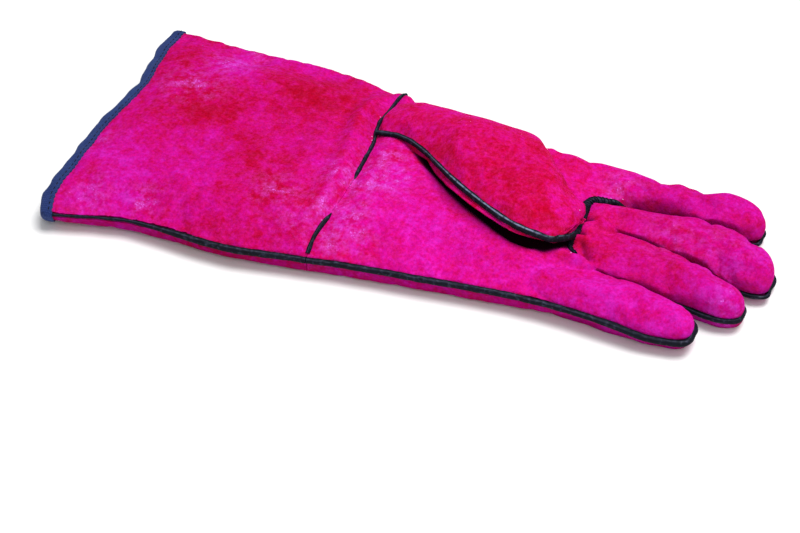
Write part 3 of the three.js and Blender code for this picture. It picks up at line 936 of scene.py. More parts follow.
def under_ring(point, ring):
    """True for a point in a ring's own plane, on its lower half."""
    near, far = seam_ends(ring)
    across = (far - near).normalized()
    up = (Vector((0, 0, 1)) - across * across.z).normalized()
    offset = point - ring.centre
    return abs(offset.dot(across.cross(up))) < RING_REACH * MM and offset.dot(up) < RING_REACH * MM


def thumb_skin():
    """The thumb as a closed bag, with its seam marked along both edges and round its two ends."""
    rings = thumb_rings()
    thumb = limb("thumb_skin", rings, THUMB_BELLY, THUMB_FULLNESS, 2)
    ends = [seam_ends(ring) for ring in rings]
    lines = [[near for near, _ in ends], [far for _, far in ends]]
    open_up(thumb, "EDGE")
    mesh = bmesh.from_edit_mesh(thumb.data)
    for edge in mesh.edges:
        on_seam = any(all(on_polyline(v.co, line, SEAM_REACH * MM) for v in edge.verts) for line in lines)
        on_end = any(all(under_ring(v.co, ring) for v in edge.verts) for ring in (rings[0], rings[-1]))
        edge.select = on_seam or on_end
    mesh.select_flush(False)
    bpy.ops.mesh.mark_seam()
    close_up()
    refine(thumb)
    return thumb, lines


def pin_thumb(thumb):
    """Pins the thumb's seam and what lies by the wrist."""
    seam = {vertex for edge in thumb.data.edges if edge.use_seam for vertex in edge.vertices}
    wrist = np.flatnonzero(plan_of(points_of(thumb))[:, 0] < WRIST_FAR[0] + 2)
    pin(thumb, sorted(seam | set(wrist.tolist())))


def depths_in(piece, points):
    """How deep each point lies inside a closed piece; outside it the depth is negative."""
    tree = tree_of(piece)
    depths = np.empty(len(points))
    for index, point in enumerate(points):
        hit, normal, _, gap = tree.find_nearest(Vector(point))
        depths[index] = gap if (Vector(point) - hit).dot(normal) < 0 else -gap
    return depths


def drop_hidden(piece, cover, depth):
    """Takes away the faces that lie deeper than a given depth inside another form."""
    depths = depths_in(cover, points_of(piece))
    open_up(piece, "VERT")
    mesh = bmesh.from_edit_mesh(piece.data)
    for vertex, deep in zip(mesh.verts, depths):
        vertex.select = bool(deep > depth * MM)
    mesh.select_flush(True)
    bpy.ops.mesh.delete(type="VERT")
    close_up()


def thumb_panels(thumb, skin):
    """The thumb parted at its seam; what would lie inside the hand is taken away."""
    ahead = wrist_ahead()
    cut(thumb, place(*WRIST_NEAR) + ahead * SEAM_HALF_GAP * MM, ahead)
    open_up(thumb, "FACE")
    mesh = bmesh.from_edit_mesh(thumb.data)
    top = max(mesh.faces, key=lambda face: face.calc_center_median().z)
    top.select = True
    bpy.ops.mesh.select_linked(delimit={"SEAM"})
    front = part_selected(thumb, "thumb_front_leather")
    thumb.name = "thumb_back_leather"
    drop_hidden(front, skin, THUMB_FRONT_HIDDEN)
    drop_hidden(thumb, skin, THUMB_BACK_HIDDEN)
    return {"thumb_front_leather": front, "thumb_back_leather": thumb}


# The pipings' radii, and how deep they lie in their seams
WELT_RADIUS = 1.7
WELT_RADII = {"finger_base_welt": 2.35, "wrist_welt": 1.35, "thumb_welt": 1.9}
WELT_SUNK = 0.4
NEAR_WELT_SUNK = 0.5
THUMB_WELT_RISE = 1.6
# Where the thumb's piping dives into the seam at the base of the fingers, and where that one's
# own piping ends between two fingers
THUMB_WELT_END = [(286.4, -13.5, 28), (287.6, -9, 26.5)]
BASE_WELT_END = (304, 35.2, 15)
OUTER_FINGER_START = 292
# Between the points of a side piping's route, and between the wrist seam and the side pipings
EDGE_STEP = 8
WELT_GAP = 0.2
# The height that the piping at the base of the fingers never dips under
BASE_WELT_LOWEST = 19
# How thick the piping of each seam is, in shares of its radius, along x
WELT_SWELLS = {
    "cuff_near_welt": [(0, 0.5), (42, 0.55), (66, 1), (85, 1.3), (115, 1.3), (149, 1.1)],
    "index_finger_welt": [(154, 1), (345, 1), (375, 0.75)],
    "middle_finger_welt": [(300, 1), (350, 1), (388, 0.78)],
    "little_finger_welt": [(149, 1.1), (200, 1.2), (300, 1.15), (345, 1.3), (371, 1.2)],
    "thumb_welt": [(153, 0.9), (185, 0.9), (203, 1), (212, 1.15), (272, 1.2), (290, 1.15)],
}
# The same for the seam at the base of the fingers, along y
BASE_SWELLS = [
    (-18.5, 0.5), (-13, 0.55), (-9, 0.85), (-5, 1), (8, 1.25), (20, 1.3), (28, 1.3), (31, 1.1), (35, 0.6),
]
# The least share of its radius that the wrist seam's piping keeps where the leather swallows it
WRIST_WELT_LEAST = 0.1


def edge_at(side, x):
    """The glove's edge on the plan, on the near or the far side of the cuff and hand."""
    xs = [section.x for section in BODY_SECTIONS]
    ys = [getattr(section, side) for section in BODY_SECTIONS]
    return float(np.interp(x, xs, ys))


def body_edge(side, start, end):
    """Route of the piping along one edge; near the mouth the near one lies deep in its seam."""
    steps = max(2, round((end - start) / EDGE_STEP))
    xs = [start + (end - start) * step / steps for step in range(steps + 1)]
    route = []
    for x in xs:
        sunk = WELT_SUNK
        if side == "near":
            sunk += NEAR_WELT_SUNK * (1 - float(fade(x, 45, 72)))
        inwards = sunk if side == "near" else -sunk
        route.append(place(x, edge_at(side, x) + inwards, SEAM_HEIGHT))
    return route


def finger_edge(finger):
    """A finger's seam from its far side round the tip to its near side."""
    far = []
    near = []
    for ring in finger_rings(finger):
        x, y, _ = plan_of(ring.centre)
        if x < FINGER_START:
            continue
        reach = ring.half - (WELT_SUNK - FINGER_SLIMMING + float(tip_tuck(x, y))) * MM
        far.append(ring.centre + Vector((0, max(reach, 0), 0)))
        near.append(ring.centre - Vector((0, max(reach, 0), 0)))
    sunk = WELT_SUNK + float(tip_tuck(finger.tip_x, finger.tip_y))
    tip = place(finger.tip_x - sunk, finger.tip_y, SEAM_HEIGHT)
    return far[:-2] + [tip] + near[:-2][::-1]


def thumb_edge(lines):
    """Route of the thumb's piping, from the wrist seam to the finger seam past the thumb's tip."""
    near, _ = lines
    shown = near[:len(THUMB_RIBS) + 1]
    route = []
    for point in shown:
        raised = THUMB_WELT_RISE * (1 - float(fade(plan_of(point)[0], 170, 195)))
        route.append(point + Vector((0, WELT_SUNK, raised)) * MM)
    return route + [place(*spot) for spot in THUMB_WELT_END]


def height_on(skin_tree, x, y):
    """Height of the leather at a place on the plan, in millimetres, or of the seam in a gap."""
    hit = skin_tree.ray_cast(place(x, y, 100), Vector((0, 0, -1)))[0]
    return hit.z / MM if hit else SEAM_HEIGHT


def wrist_shown(y):
    """1 where the wrist seam's piping shows and 0 where the leather has swallowed it."""
    return float(max(fade(y, -14, -2), 1 - fade(y, -44, -34)))


def wrist_edge(skin_tree):
    """The wrist seam's piping shows at its two ends and sinks into a crease between them."""
    route = []
    for y in np.linspace(WRIST_NEAR[1] + 2.5, WRIST_FAR[1] - 4, 40):
        height = height_on(skin_tree, wrist_x(y), y)
        route.append(place(wrist_x(y), y, height + 0.1 - 1.4 * (1 - wrist_shown(y))))
    return route


def base_edge(skin_tree):
    """Route of the piping at the base of the fingers; its far end dives between two of them."""
    route = []
    for x, y in BASE_SEAM:
        lift = 0.3 + 1.8 * float(bump(y - 11, 8))
        route.append(place(x, y, max(height_on(skin_tree, x, y), BASE_WELT_LOWEST) + lift))
    return [place(*BASE_WELT_END)] + route


def open_seam(piece, line, shift):
    """Draws a panel's edge back from a seam, so that the piping shows in it."""
    points = points_of(piece)
    gaps = np.full(len(points), np.inf)
    for start, end in zip(line[:-1], line[1:]):
        step = np.array(end - start)
        offsets = points - np.array(start)
        share = np.clip(offsets @ step / (step @ step), 0, 1)
        gaps = np.minimum(gaps, np.linalg.norm(offsets - share[:, None] * step, axis=1))
    points[:, 2] += shift * MM * bump(gaps / MM, 2.5)
    move_points(piece, points)


# How far the thumb's underside swells out just below its seam, along x, and which way on the plan
STRIP_SWELLS = [(190, 0), (203, 1.2), (215, 2.2), (235, 3.4), (252, 3.2), (264, 1.6), (275, 0)]
STRIP_DIRECTION = (-0.43, -0.9)
# How far below the seam the swelling's middle lies, and how wide it is
STRIP_MIDDLE = 4.3
STRIP_WIDTH = 3.3


def round_strip(piece):
    """Rounds out the thumb's underside just below its seam, where it shows."""
    points = points_of(piece)
    plan = plan_of(points)
    gap = distance_to_line(plan, THUMB_EDGE)
    below = table_at(THUMB_EDGE_HEIGHTS, plan[:, 0]) - plan[:, 2]
    close = 1 - fade(gap, 7, 12)
    out = table_at(STRIP_SWELLS, plan[:, 0]) * bump(below - STRIP_MIDDLE, STRIP_WIDTH) * close
    points[:, :2] += out[:, None] * np.array(STRIP_DIRECTION) * MM
    move_points(piece, points)


def surface_at(tree, x, y):
    """The place and the normal of a piece's top at a place on the plan, or None in a gap."""
    hit, normal, _, _ = tree.ray_cast(place(x, y, 100), Vector((0, 0, -1)))
    return (hit, normal) if hit else None


def join_in_place(pieces, name):
    """Makes turned and stretched copies one piece with its place in its mesh."""
    whole = join(pieces, name)
    bpy.ops.object.transform_apply(location=True, rotation=True, scale=True)
    return whole


def seed_stitches(name, spots, size):
    """Short stitches modelled as one seed of thread, copied to each spot along its own direction."""
    bpy.ops.object.select_all(action="DESELECT")
    bpy.ops.mesh.primitive_uv_sphere_add(segments=8, ring_count=6, radius=0.5)
    seed = bpy.context.object
    stretch = Matrix.Diagonal((*(side * MM for side in size), 1))
    stitches = []
    for spot, along, normal in spots:
        stitch = copy_of(seed, name)
        across = normal.cross(along).normalized()
        along = across.cross(normal).normalized()
        turn = Matrix((along, across, normal)).transposed().to_4x4()
        stitch.matrix_world = Matrix.Translation(spot) @ turn @ stretch
        stitches.append(stitch)
    bpy.data.objects.remove(seed)
    return join_in_place(stitches, name)


# Length, width and height of a stitch of the tape and of a tuft beside a seam
TAPE_STITCH_SIZE = (2.5, 0.8, 0.6)
NEEDLE_MARK_SIZE = (0.9, 0.7, 0.5)
STITCH_SUNK = 0.05
TUFT_DIRECTION = (1, 0.3, 0)
# The wound thread: where it starts on the seam, from turn to turn, its radius, how far it stands
# off the piping, and its slant in radians
OVERCAST_START = 0.6
OVERCAST_STEP = 2.3
OVERCAST_THREAD = 0.3
OVERCAST_RISE = 0.05
OVERCAST_SLANT = 0.35


def tape_stitches(tape):
    """The row of stitches that holds the tape, a little inside its edge."""
    tree = tree_of(tape)
    spots = []
    for y in np.arange(-87, 90, STITCH_STEP):
        wave = table_at(MOUTH_WAVE, y)
        x = TAPE_EDGE - STITCH_INSET + wave
        found = surface_at(tree, x, y)
        ahead = surface_at(tree, x + 0.3 * (table_at(MOUTH_WAVE, y + 1) - wave), y + 1)
        if found and ahead:
            spots.append((found[0] - found[1] * STITCH_SUNK * MM, ahead[0] - found[0], found[1]))
    return seed_stitches("tape_stitches", spots, TAPE_STITCH_SIZE)


def walk(route, start, step):
    """Evenly spaced places along a route, each with its direction."""
    places = []
    left = start
    for low, high in zip(route[:-1], route[1:]):
        span = high - low
        while left < span.length:
            places.append((low + span.normalized() * left, span.normalized()))
            left += step
        left -= span.length
    return places


def overcast(name, route, radius):
    """Thread wound over the piping of a seam, one turn after another."""
    slant = Quaternion((0, 0, 1), OVERCAST_SLANT)
    turns = []
    for spot, along in walk(route, OVERCAST_START * MM, OVERCAST_STEP * MM):
        share = float(table_at(BASE_SWELLS, plan_of(spot)[1]))
        bpy.ops.object.select_all(action="DESELECT")
        bpy.ops.mesh.primitive_torus_add(
            major_radius=(radius * share + OVERCAST_RISE) * MM,
            minor_radius=OVERCAST_THREAD * MM,
            major_segments=14,
            minor_segments=5,
        )
        turn = bpy.context.object
        facing = (slant @ along.to_track_quat("Z", "Y")).to_matrix().to_4x4()
        turn.matrix_world = Matrix.Translation(spot) @ facing
        turns.append(turn)
    return join_in_place(turns, name)


# Beside the seam at the base of the fingers and the wrist seam
NEEDLE_MARKS = [
    (286.1, 31.2), (288.2, 33.4), (287.1, 2.0), (294.9, 36.2), (297.1, 36.6),
    (285.6, 23), (290.9, -22.1), (301, 39.5), (149.5, 31), (151.8, 24),
    (150.8, 28), (153.5, 17), (150.8, -46), (146.2, 52), (147.9, 60),
]


def needle_marks(pieces):
    """Pale tufts where the needle drew fibres out of the leather beside the seams."""
    trees = [tree_of(piece) for piece in pieces]
    spots = []
    for x, y in NEEDLE_MARKS:
        found = [hit for hit in (surface_at(tree, x, y) for tree in trees) if hit]
        if found:
            spot, normal = max(found, key=lambda hit: hit[0].z)
            spots.append((spot, Vector(TUFT_DIRECTION), normal))
    return seed_stitches("needle_marks", spots, NEEDLE_MARK_SIZE)


def piping(name, route, radius, shares):
    """A strip of folded leather sewn into a seam, round and slightly lumpy, as thick at each point of
    its route as its share of the radius."""
    bpy.ops.object.select_all(action="DESELECT")
    bpy.ops.curve.primitive_bezier_curve_add()
    piece = bpy.context.object
    piece.name = name
    curve = piece.data
    curve.dimensions = "3D"
    curve.resolution_u = 5
    curve.bevel_depth = radius * MM
    curve.bevel_resolution = 3
    curve.use_fill_caps = True
    spline = curve.splines[0]
    spline.bezier_points.add(len(route) - 2)
    for knot, point, share in zip(spline.bezier_points, route, shares):
        knot.co = point
        knot.handle_left_type = "AUTO"
        knot.handle_right_type = "AUTO"
        knot.radius = share
    pick(piece)
    bpy.ops.object.convert(target="MESH")
    piece = bpy.context.object
    refine(piece)
    ruffle(piece, name + "_lumps", 0.006, 0.7, "LOCAL")
    return piece


# Materials


# The colour sockets of a mixing node, which share their names with its other sockets
MIX_UNDER = 6
MIX_OVER = 7
MIX_RESULT = 2


def set_inputs(tree, node, inputs):
    """Sets a node's inputs, each to a number, a colour or another node's socket."""
    for name, value in inputs.items():
        if isinstance(value, bpy.types.NodeSocket):
            tree.links.new(value, node.inputs[name])
        else:
            node.inputs[name].default_value = value


def add_node(tree, kind, inputs, **settings):
    """A node with its settings and inputs."""
    node = tree.nodes.new(kind)
    for name, value in settings.items():
        setattr(node, name, value)
    set_inputs(tree, node, inputs)
    return node


def noise(tree, spot, scale, detail, roughness, distortion=0.0):
    """The value of a noise texture at a place."""
    inputs = {"Vector": spot, "Scale": scale, "Detail": detail, "Roughness": roughness}
    return add_node(tree, "ShaderNodeTexNoise", {**inputs, "Distortion": distortion}).outputs["Fac"]


def math_node(tree, operation, *values, clamp=False):
    """The result of a sum on sockets and numbers."""
    inputs = dict(enumerate(values))
    return add_node(tree, "ShaderNodeMath", inputs, operation=operation, use_clamp=clamp).outputs[0]


def weighted_sum(tree, parts):
    """Adds up sockets, each times its weight."""
    total = 0.0
    for value, weight in parts:
        total = math_node(tree, "MULTIPLY_ADD", value, weight, total)
    return total


def between(tree, value, low, high):
    """0 where a value is under low, 1 where it is over high."""
    inputs = {"Value": value, "From Min": low, "From Max": high}
    return add_node(tree, "ShaderNodeMapRange", inputs, clamp=True).outputs["Result"]


def nap_group():
    """The brushed nap of split leather: blotches of dye, fine fibres and the height of both."""
    group = bpy.data.node_groups.new("suede_nap", "ShaderNodeTree")
    group.interface.new_socket(name="Vector", in_out="INPUT", socket_type="NodeSocketVector")
    group.interface.new_socket(name="Fibre Scale", in_out="INPUT", socket_type="NodeSocketFloat")
    for name in ("Mottle", "Fibre", "Height"):
        group.interface.new_socket(name=name, in_out="OUTPUT", socket_type="NodeSocketFloat")
    given = add_node(group, "NodeGroupInput", {}).outputs
    spot = given["Vector"]
    broad = noise(group, spot, 40, 3, 0.5, 0.4)
    cloud = noise(group, spot, 130, 3, 0.6, 0.3)
    blotch = noise(group, spot, 340, 3, 0.6, 0.4)
    mottle = weighted_sum(group, [(broad, 0.26), (cloud, 0.4), (blotch, 0.34)])
    fibre = noise(group, spot, given["Fibre Scale"], 3, 0.6, 0.2)
    coarse = noise(group, spot, 560, 4, 0.65, 0.5)
    height = weighted_sum(group, [(fibre, 0.6), (coarse, 1.0)])
    add_node(group, "NodeGroupOutput", {"Mottle": mottle, "Fibre": fibre, "Height": height})
    return group


def add_nap(tree, nap, spot, fibre_scale):
    """The nap's blotches, fibres and height at a place, with fibres of a given fineness."""
    inputs = {"Vector": spot, "Fibre Scale": fibre_scale}
    return add_node(tree, "ShaderNodeGroup", inputs, node_tree=nap).outputs


def object_place(tree):
    """The place on the object itself, so that a texture stays fixed on it."""
    return add_node(tree, "ShaderNodeTexCoord", {}).outputs["Object"]


def painted(tree, name):
    """What is painted on the piece under a name."""
    return add_node(tree, "ShaderNodeAttribute", {}, attribute_name=name).outputs["Fac"]


def mix_colours(tree, share, under, over):
    """A colour socket with a plain colour laid over it by a share."""
    inputs = {"Factor": share, MIX_UNDER: under, MIX_OVER: (*over, 1)}
    return add_node(tree, "ShaderNodeMix", inputs, data_type="RGBA").outputs[MIX_RESULT]


def relief(tree, height, strength, distance):
    """The normal of a surface raised by a height."""
    inputs = {"Height": height, "Strength": strength, "Distance": distance}
    return add_node(tree, "ShaderNodeBump", inputs).outputs["Normal"]


def new_material(name):
    """A material with its node tree and its shader."""
    material = bpy.data.materials.new(name)
    material.use_nodes = True
    tree = material.node_tree
    return material, tree, tree.nodes["Principled BSDF"]


def colour_ramp(tree, value, stops):
    """A colour that runs through the stops as a value rises."""
    node = add_node(tree, "ShaderNodeValToRGB", {"Fac": value})
    ramp = node.color_ramp
    while len(ramp.elements) < len(stops):
        ramp.elements.new(0.5)
    for element, (position, colour) in zip(ramp.elements, stops):
        element.position = position
        element.color = (*colour, 1)
    return node.outputs["Color"]


# The dye from its deepest red to its brightest magenta, and how far fine shading and dust reach
DYE = [
    (0.0, (0.46, 0.0008, 0.020)),
    (0.25, (0.54, 0.0015, 0.065)),
    (0.5, (0.60, 0.0025, 0.165)),
    (0.75, (0.64, 0.0035, 0.28)),
    (1.0, (0.66, 0.011, 0.42)),
]
SHADE_RANGE = 0.5
DUST_RANGE = 0.018
SCUFF_COLOUR = (0.60, 0.09, 0.66)
FLECK_COLOUR = (0.74, 0.16, 0.80)
TUFT_COLOURS = [(0.3, (0.62, 0.16, 0.60)), (0.7, (0.82, 0.50, 0.84))]
PIPING_COLOURS = [(0.3, (0.002, 0.002, 0.004)), (0.7, (0.006, 0.008, 0.018))]
PIPING_WORN = (0.05, 0.055, 0.13)
# The colour of the painted highlight along the pipings' ridge
PIPING_HIGHLIGHT = (0.26, 0.30, 0.46)
TAPE_COLOURS = [(0.3, (0.008, 0.018, 0.085)), (0.8, (0.032, 0.058, 0.21))]
# The tape's threads: how close they lie, and across which way
TAPE_THREADS = [(260.0, "Y"), (300.0, "X")]


def suede_material(nap):
    """Brushed dyed leather: blotches, fine light and dark nap, pale scuffs, and painted shade that darkens
    the colour in folds, under the seams and under the thumb.
    """
    material, tree, shader = new_material("suede_leather")
    spot = object_place(tree)
    grain = add_nap(tree, nap, spot, 1500)
    # Painted shade: how dark each point is painted, in folds, under seams and under the thumb
    painted_shade = painted(tree, "painted_shade")
    speck = noise(tree, spot, 900, 2, 0.7)
    weights = [(grain["Mottle"], 2.8), (grain["Fibre"], 0.28), (speck, 0.4)]
    centred = 0.5 - 0.5 * sum(weight for _, weight in weights)
    base = math_node(tree, "ADD", painted(tree, "tone"), centred)
    colour = colour_ramp(tree, math_node(tree, "ADD", base, weighted_sum(tree, weights)), DYE)
    fine = between(tree, noise(tree, spot, 620, 3, 0.7), 0.25, 0.75)
    shade = math_node(tree, "MULTIPLY_ADD", fine, SHADE_RANGE, 1 - SHADE_RANGE / 2)
    # The share that the painted shade leaves unshaded, for the colour and for the scuffs
    unshaded = math_node(tree, "SUBTRACT", 1, math_node(tree, "MINIMUM", painted_shade, 0.99))
    shade = math_node(tree, "MULTIPLY", shade, unshaded)
    colour = add_node(tree, "ShaderNodeHueSaturation", {"Color": colour, "Value": shade}).outputs["Color"]
    patches = between(tree, noise(tree, spot, 170, 3, 0.6), 0.42, 0.62)
    worn = math_node(tree, "MULTIPLY", patches, painted(tree, "scuff"))
    dust = math_node(tree, "MULTIPLY", math_node(tree, "MULTIPLY", fine, fine), DUST_RANGE)
    haze = math_node(tree, "MULTIPLY", math_node(tree, "MULTIPLY", worn, fine), 0.75)
    haze = math_node(tree, "MULTIPLY", math_node(tree, "ADD", haze, dust), unshaded, clamp=True)
    colour = mix_colours(tree, haze, colour, SCUFF_COLOUR)
    flecks = noise(tree, spot, 1100, 2, 0.6)
    level = math_node(tree, "SUBTRACT", 0.75, math_node(tree, "MULTIPLY", worn, 0.23))
    pale = math_node(tree, "MULTIPLY", math_node(tree, "SUBTRACT", flecks, level), 8)
    pale = math_node(tree, "MINIMUM", math_node(tree, "MAXIMUM", pale, 0.0), 0.8)
    set_inputs(tree, shader, {
        "Base Color": mix_colours(tree, pale, colour, FLECK_COLOUR),
        "Normal": relief(tree, grain["Height"], 0.4, 0.8 * MM),
        "Roughness": 0.95,
        "Specular IOR Level": 0.02,
        "Sheen Weight": 0.05,
        "Sheen Roughness": 0.5,
        "Sheen Tint": (1.0, 0.05, 0.7, 1),
    })
    return material


def tuft_material(nap):
    """The pale fibres of a tuft."""
    material, tree, shader = new_material("pale_tuft")
    grain = add_nap(tree, nap, object_place(tree), 2500)
    colour = colour_ramp(tree, grain["Fibre"], TUFT_COLOURS)
    set_inputs(tree, shader, {"Base Color": colour, "Roughness": 0.9})
    return material


def piping_material(nap):
    """Near-black leather, worn shiny in patches, with a painted highlight along its ridge."""
    material, tree, shader = new_material("dark_piping")
    spot = object_place(tree)
    grain = add_nap(tree, nap, spot, 1900)
    patchy = noise(tree, spot, 420, 3, 0.6)
    worn = between(tree, patchy, 0.55, 0.7)
    colour = colour_ramp(tree, grain["Mottle"], PIPING_COLOURS)
    colour = mix_colours(tree, math_node(tree, "MULTIPLY", worn, 0.3), colour, PIPING_WORN)
    # The painted highlight along the ridge, broken into patches
    highlight_share = math_node(tree, "MULTIPLY", painted(tree, "painted_highlight"), between(tree, patchy, 0.28, 0.52))
    set_inputs(tree, shader, {
        "Base Color": mix_colours(tree, highlight_share, colour, PIPING_HIGHLIGHT),
        "Normal": relief(tree, grain["Height"], 0.5, 0.5 * MM),
        "Coat Weight": math_node(tree, "MULTIPLY", worn, 0.35),
        "Coat Roughness": 0.3,
        "Roughness": 0.7,
        "Specular IOR Level": 0.12,
    })
    return material


def tape_material(nap):
    """Dark woven tape."""
    material, tree, shader = new_material("mouth_tape")
    spot = object_place(tree)
    grain = add_nap(tree, nap, spot, 1700)
    threads = []
    for scale, across in TAPE_THREADS:
        inputs = {"Vector": spot, "Scale": scale, "Distortion": 1.5}
        thread = add_node(tree, "ShaderNodeTexWave", inputs, bands_direction=across)
        threads.append(thread.outputs["Fac"])
    weave = math_node(tree, "MULTIPLY", *threads)
    value = weighted_sum(tree, [(weave, 0.35), (grain["Mottle"], 0.9)])
    set_inputs(tree, shader, {
        "Base Color": colour_ramp(tree, value, TAPE_COLOURS),
        "Normal": relief(tree, weave, 0.5, 0.4 * MM),
        "Roughness": 0.85,
        "Specular IOR Level": 0.1,
        "Sheen Weight": 0.1,
        "Sheen Tint": (0.5, 0.65, 1.0, 1),
    })
    return material


Patch = namedtuple("Patch", "x y radius amount")
# Where the dye shows deeper red (below 0) or brighter magenta (above 0)
TONES = [
    Patch(115, 50, 22, -0.35),
    Patch(94, 54, 18, -0.2),
    Patch(17, 63, 16, -0.25),
    Patch(17, 8, 18, -0.15),
    Patch(95, -20, 22, -0.15),
    Patch(58, 12, 24, -0.25),
    Patch(55, 30, 16, -0.15),
    Patch(45, 78, 16, 0.25),
    Patch(50, 62, 12, 0.2),
    Patch(68, -25, 20, 0.15),
    Patch(12, -34, 16, 0.3),
    Patch(30, -65, 25, 0.3),
    Patch(60, -30, 18, 0.15),
    Patch(299, -6, 14, -0.2),
    Patch(302, 14, 14, -0.1),
    Patch(80, 85, 14, 0.15),
    Patch(183, -10, 26, 0.3),
    Patch(225, -37, 30, 0.3),
    Patch(180, -50, 25, 0.2),
    Patch(294, -50, 26, 0.25),
    Patch(330, -45, 22, 0.25),
    Patch(358, -48, 18, 0.25),
    Patch(376, -25, 18, 0.4),
    Patch(385, 12, 18, 0.35),
    Patch(340, 22, 34, 0.1),
    Patch(335, -15, 22, 0.07),
    Patch(330, 52, 24, 0.08),
    Patch(215, -45, 60, -0.1),
    Patch(307, 51, 18, 0.15),
    Patch(364, 60, 18, 0.25),
]
THUMB_TONES = [
    Patch(183, 38, 30, -0.15),
    Patch(235, 15, 40, -0.22),
    Patch(267, -10, 25, -0.2),
    Patch(190, 70, 16, 0.15),
    Patch(235, 55, 16, 0.1),
]
# Where the nap is scuffed pale
SCUFFS = [
    Patch(46, 66, 14, 1.0),
    Patch(53, 89, 8, 0.6),
    Patch(25, 36, 14, 0.7),
    Patch(40, 33, 12, 0.6),
    Patch(0, -28, 9, 0.8),
    Patch(17, -68, 12, 0.7),
    Patch(48, -64, 9, 1.0),
    Patch(118, -36, 12, 0.7),
    Patch(137, -54, 9, 0.6),
    Patch(147, -10, 10, 0.9),
    Patch(148, -37, 9, 0.9),
    Patch(160, -57, 11, 0.8),
    Patch(167, -39, 10, 0.8),
    Patch(167, -11, 12, 1.0),
    Patch(166, 12, 12, 0.9),
    Patch(182, -5, 10, 0.6),
    Patch(179, -50, 9, 0.5),
    Patch(295, 34, 10, 0.5),
    Patch(298, 49, 12, 0.5),
    Patch(337, 13, 14, 0.5),
    Patch(381, -25, 12, 0.6),
    Patch(370, 15, 16, 0.4),
]


# How scuffed the leather is everywhere
SCUFF_GROUND = 0.08
# A line of painted shade: its line on the plan, its width and how dark it is painted
ShadeLine = namedtuple("ShadeLine", "line width amount")
# Painted shade in the folds and creases of the leather
CREASE_SHADES = [
    ShadeLine([(299, 33.6), (305, 35.2), (322, 36.6)], 1.8, 0.95),
    ShadeLine([(303, 38), (318, 38.8), (335, 39.5)], 3.6, 0.5),
    ShadeLine([(287, 9), (290, 9.2), (292.5, 9.4)], 1.4, 0.75),
    ShadeLine([(288, -3), (292, -3.6)], 1.4, 0.9),
    ShadeLine([(293.5, -9.5), (297, -14.5), (299.5, -17.5)], 1.5, 0.6),
]
# How dark the leather under the side seams is painted, as painted shade
BELOW_SEAM_SHADE = 0.35
# The edge of the painted shadow that the thumb casts on the palm, and how softly it ends, along x
THUMB_SHADOW_EDGE = [
    (176, 28), (194.7, 9.5), (204.5, 0), (213.3, -6.8), (221.6, -12.6), (229.3, -16.8), (237.3, -20.6),
    (244.2, -23), (250.9, -24.6), (257.2, -25.4), (263.3, -25.4), (268.7, -24.6), (274.1, -23.2),
    (278.7, -20.6), (283, -17.2), (285.5, -14),
]
THUMB_SHADOW_SOFTNESS = [
    (176, 1.5), (195, 3.5), (210, 6), (240, 5.6), (255, 4.8), (265, 3.6), (275, 2.4), (285, 2),
]
THUMB_SHADOW_WIDTH = 20
# How much of the thumb's underside below its seam is left out of the painted shade, along x
THUMB_STRIP = [(150, 2.5), (190, 4.4), (215, 6.4), (248, 7), (258, 4), (266, 1.5), (290, 0.5)]
# How much darker the leather is painted along x: painted shade on the cuff and the fingers, where less light
# falls
LENGTH_SHADE = [(-10, 0.15), (120, 0.12), (150, 0.05), (175, 0), (285, 0), (300, 0.06), (325, 0.13), (400, 0.14)]


def thumb_shadow_band(plan):
    """How dark the painted shadow of the thumb's edge is on the palm."""
    x, y, _ = plan.T
    gap = distance_to_line(plan, THUMB_SHADOW_EDGE)
    ahead = y - table_at(THUMB_SHADOW_EDGE, x)
    outward = np.where(ahead < 0, gap, -gap)
    softness = table_at(THUMB_SHADOW_SOFTNESS, x)
    band = 1 - fade(outward, -softness, 1.7 * softness)
    return band * (1 - fade(ahead, THUMB_SHADOW_WIDTH, THUMB_SHADOW_WIDTH + 10)) * fade(x, 172, 182) * (x < 287)


def thumb_underside_shade(plan):
    """The painted shade on the thumb's underside, below the strip that shows under its seam."""
    gap = distance_to_line(plan, THUMB_EDGE)
    below = table_at(THUMB_EDGE_HEIGHTS, plan[:, 0]) - plan[:, 2]
    start = table_at(THUMB_STRIP, plan[:, 0])
    return 0.98 * fade(below, start, start + 2.5) * (1 - fade(gap, 12, 22))


def hand_shade(plan, thumb_shadow):
    """Painted shade in the folds and under the side seams, the painted shadow of the thumb, and the painted
    shade that darkens the cuff and the fingers along x.
    """
    values = BELOW_SEAM_SHADE * (1 - fade(plan[:, 2], SEAM_HEIGHT - 3, SEAM_HEIGHT))
    for painted_shade in CREASE_SHADES:
        gap = distance_to_line(plan, painted_shade.line)
        values = np.maximum(values, painted_shade.amount * bump(gap, painted_shade.width))
    values = np.maximum(values, thumb_shadow)
    little = fade(-plan[:, 1], 24, 34) * fade(plan[:, 0], 290, 310)
    return 1 - (1 - values) * (1 - table_at(LENGTH_SHADE, plan[:, 0]) * (1 - 0.5 * little))


def store(piece, name, values):
    """Stores a number at each point of a piece, for its material to read."""
    attribute = piece.data.attributes.new(name, "FLOAT", "POINT")
    attribute.data.foreach_set("value", values.astype(np.float32))


def paint_shade(piece):
    """Paints shade on a piece of leather: its folds and seams, the thumb's shadow on the palm and the
    thumb's underside.
    """
    plan = plan_of(points_of(piece))
    if piece.name.startswith("thumb"):
        values = thumb_underside_shade(plan)
    else:
        thumb_shadow = 0.985 * thumb_shadow_band(plan) if piece.name == "palm_leather" else 0
        values = hand_shade(plan, thumb_shadow)
    store(piece, "painted_shade", values)


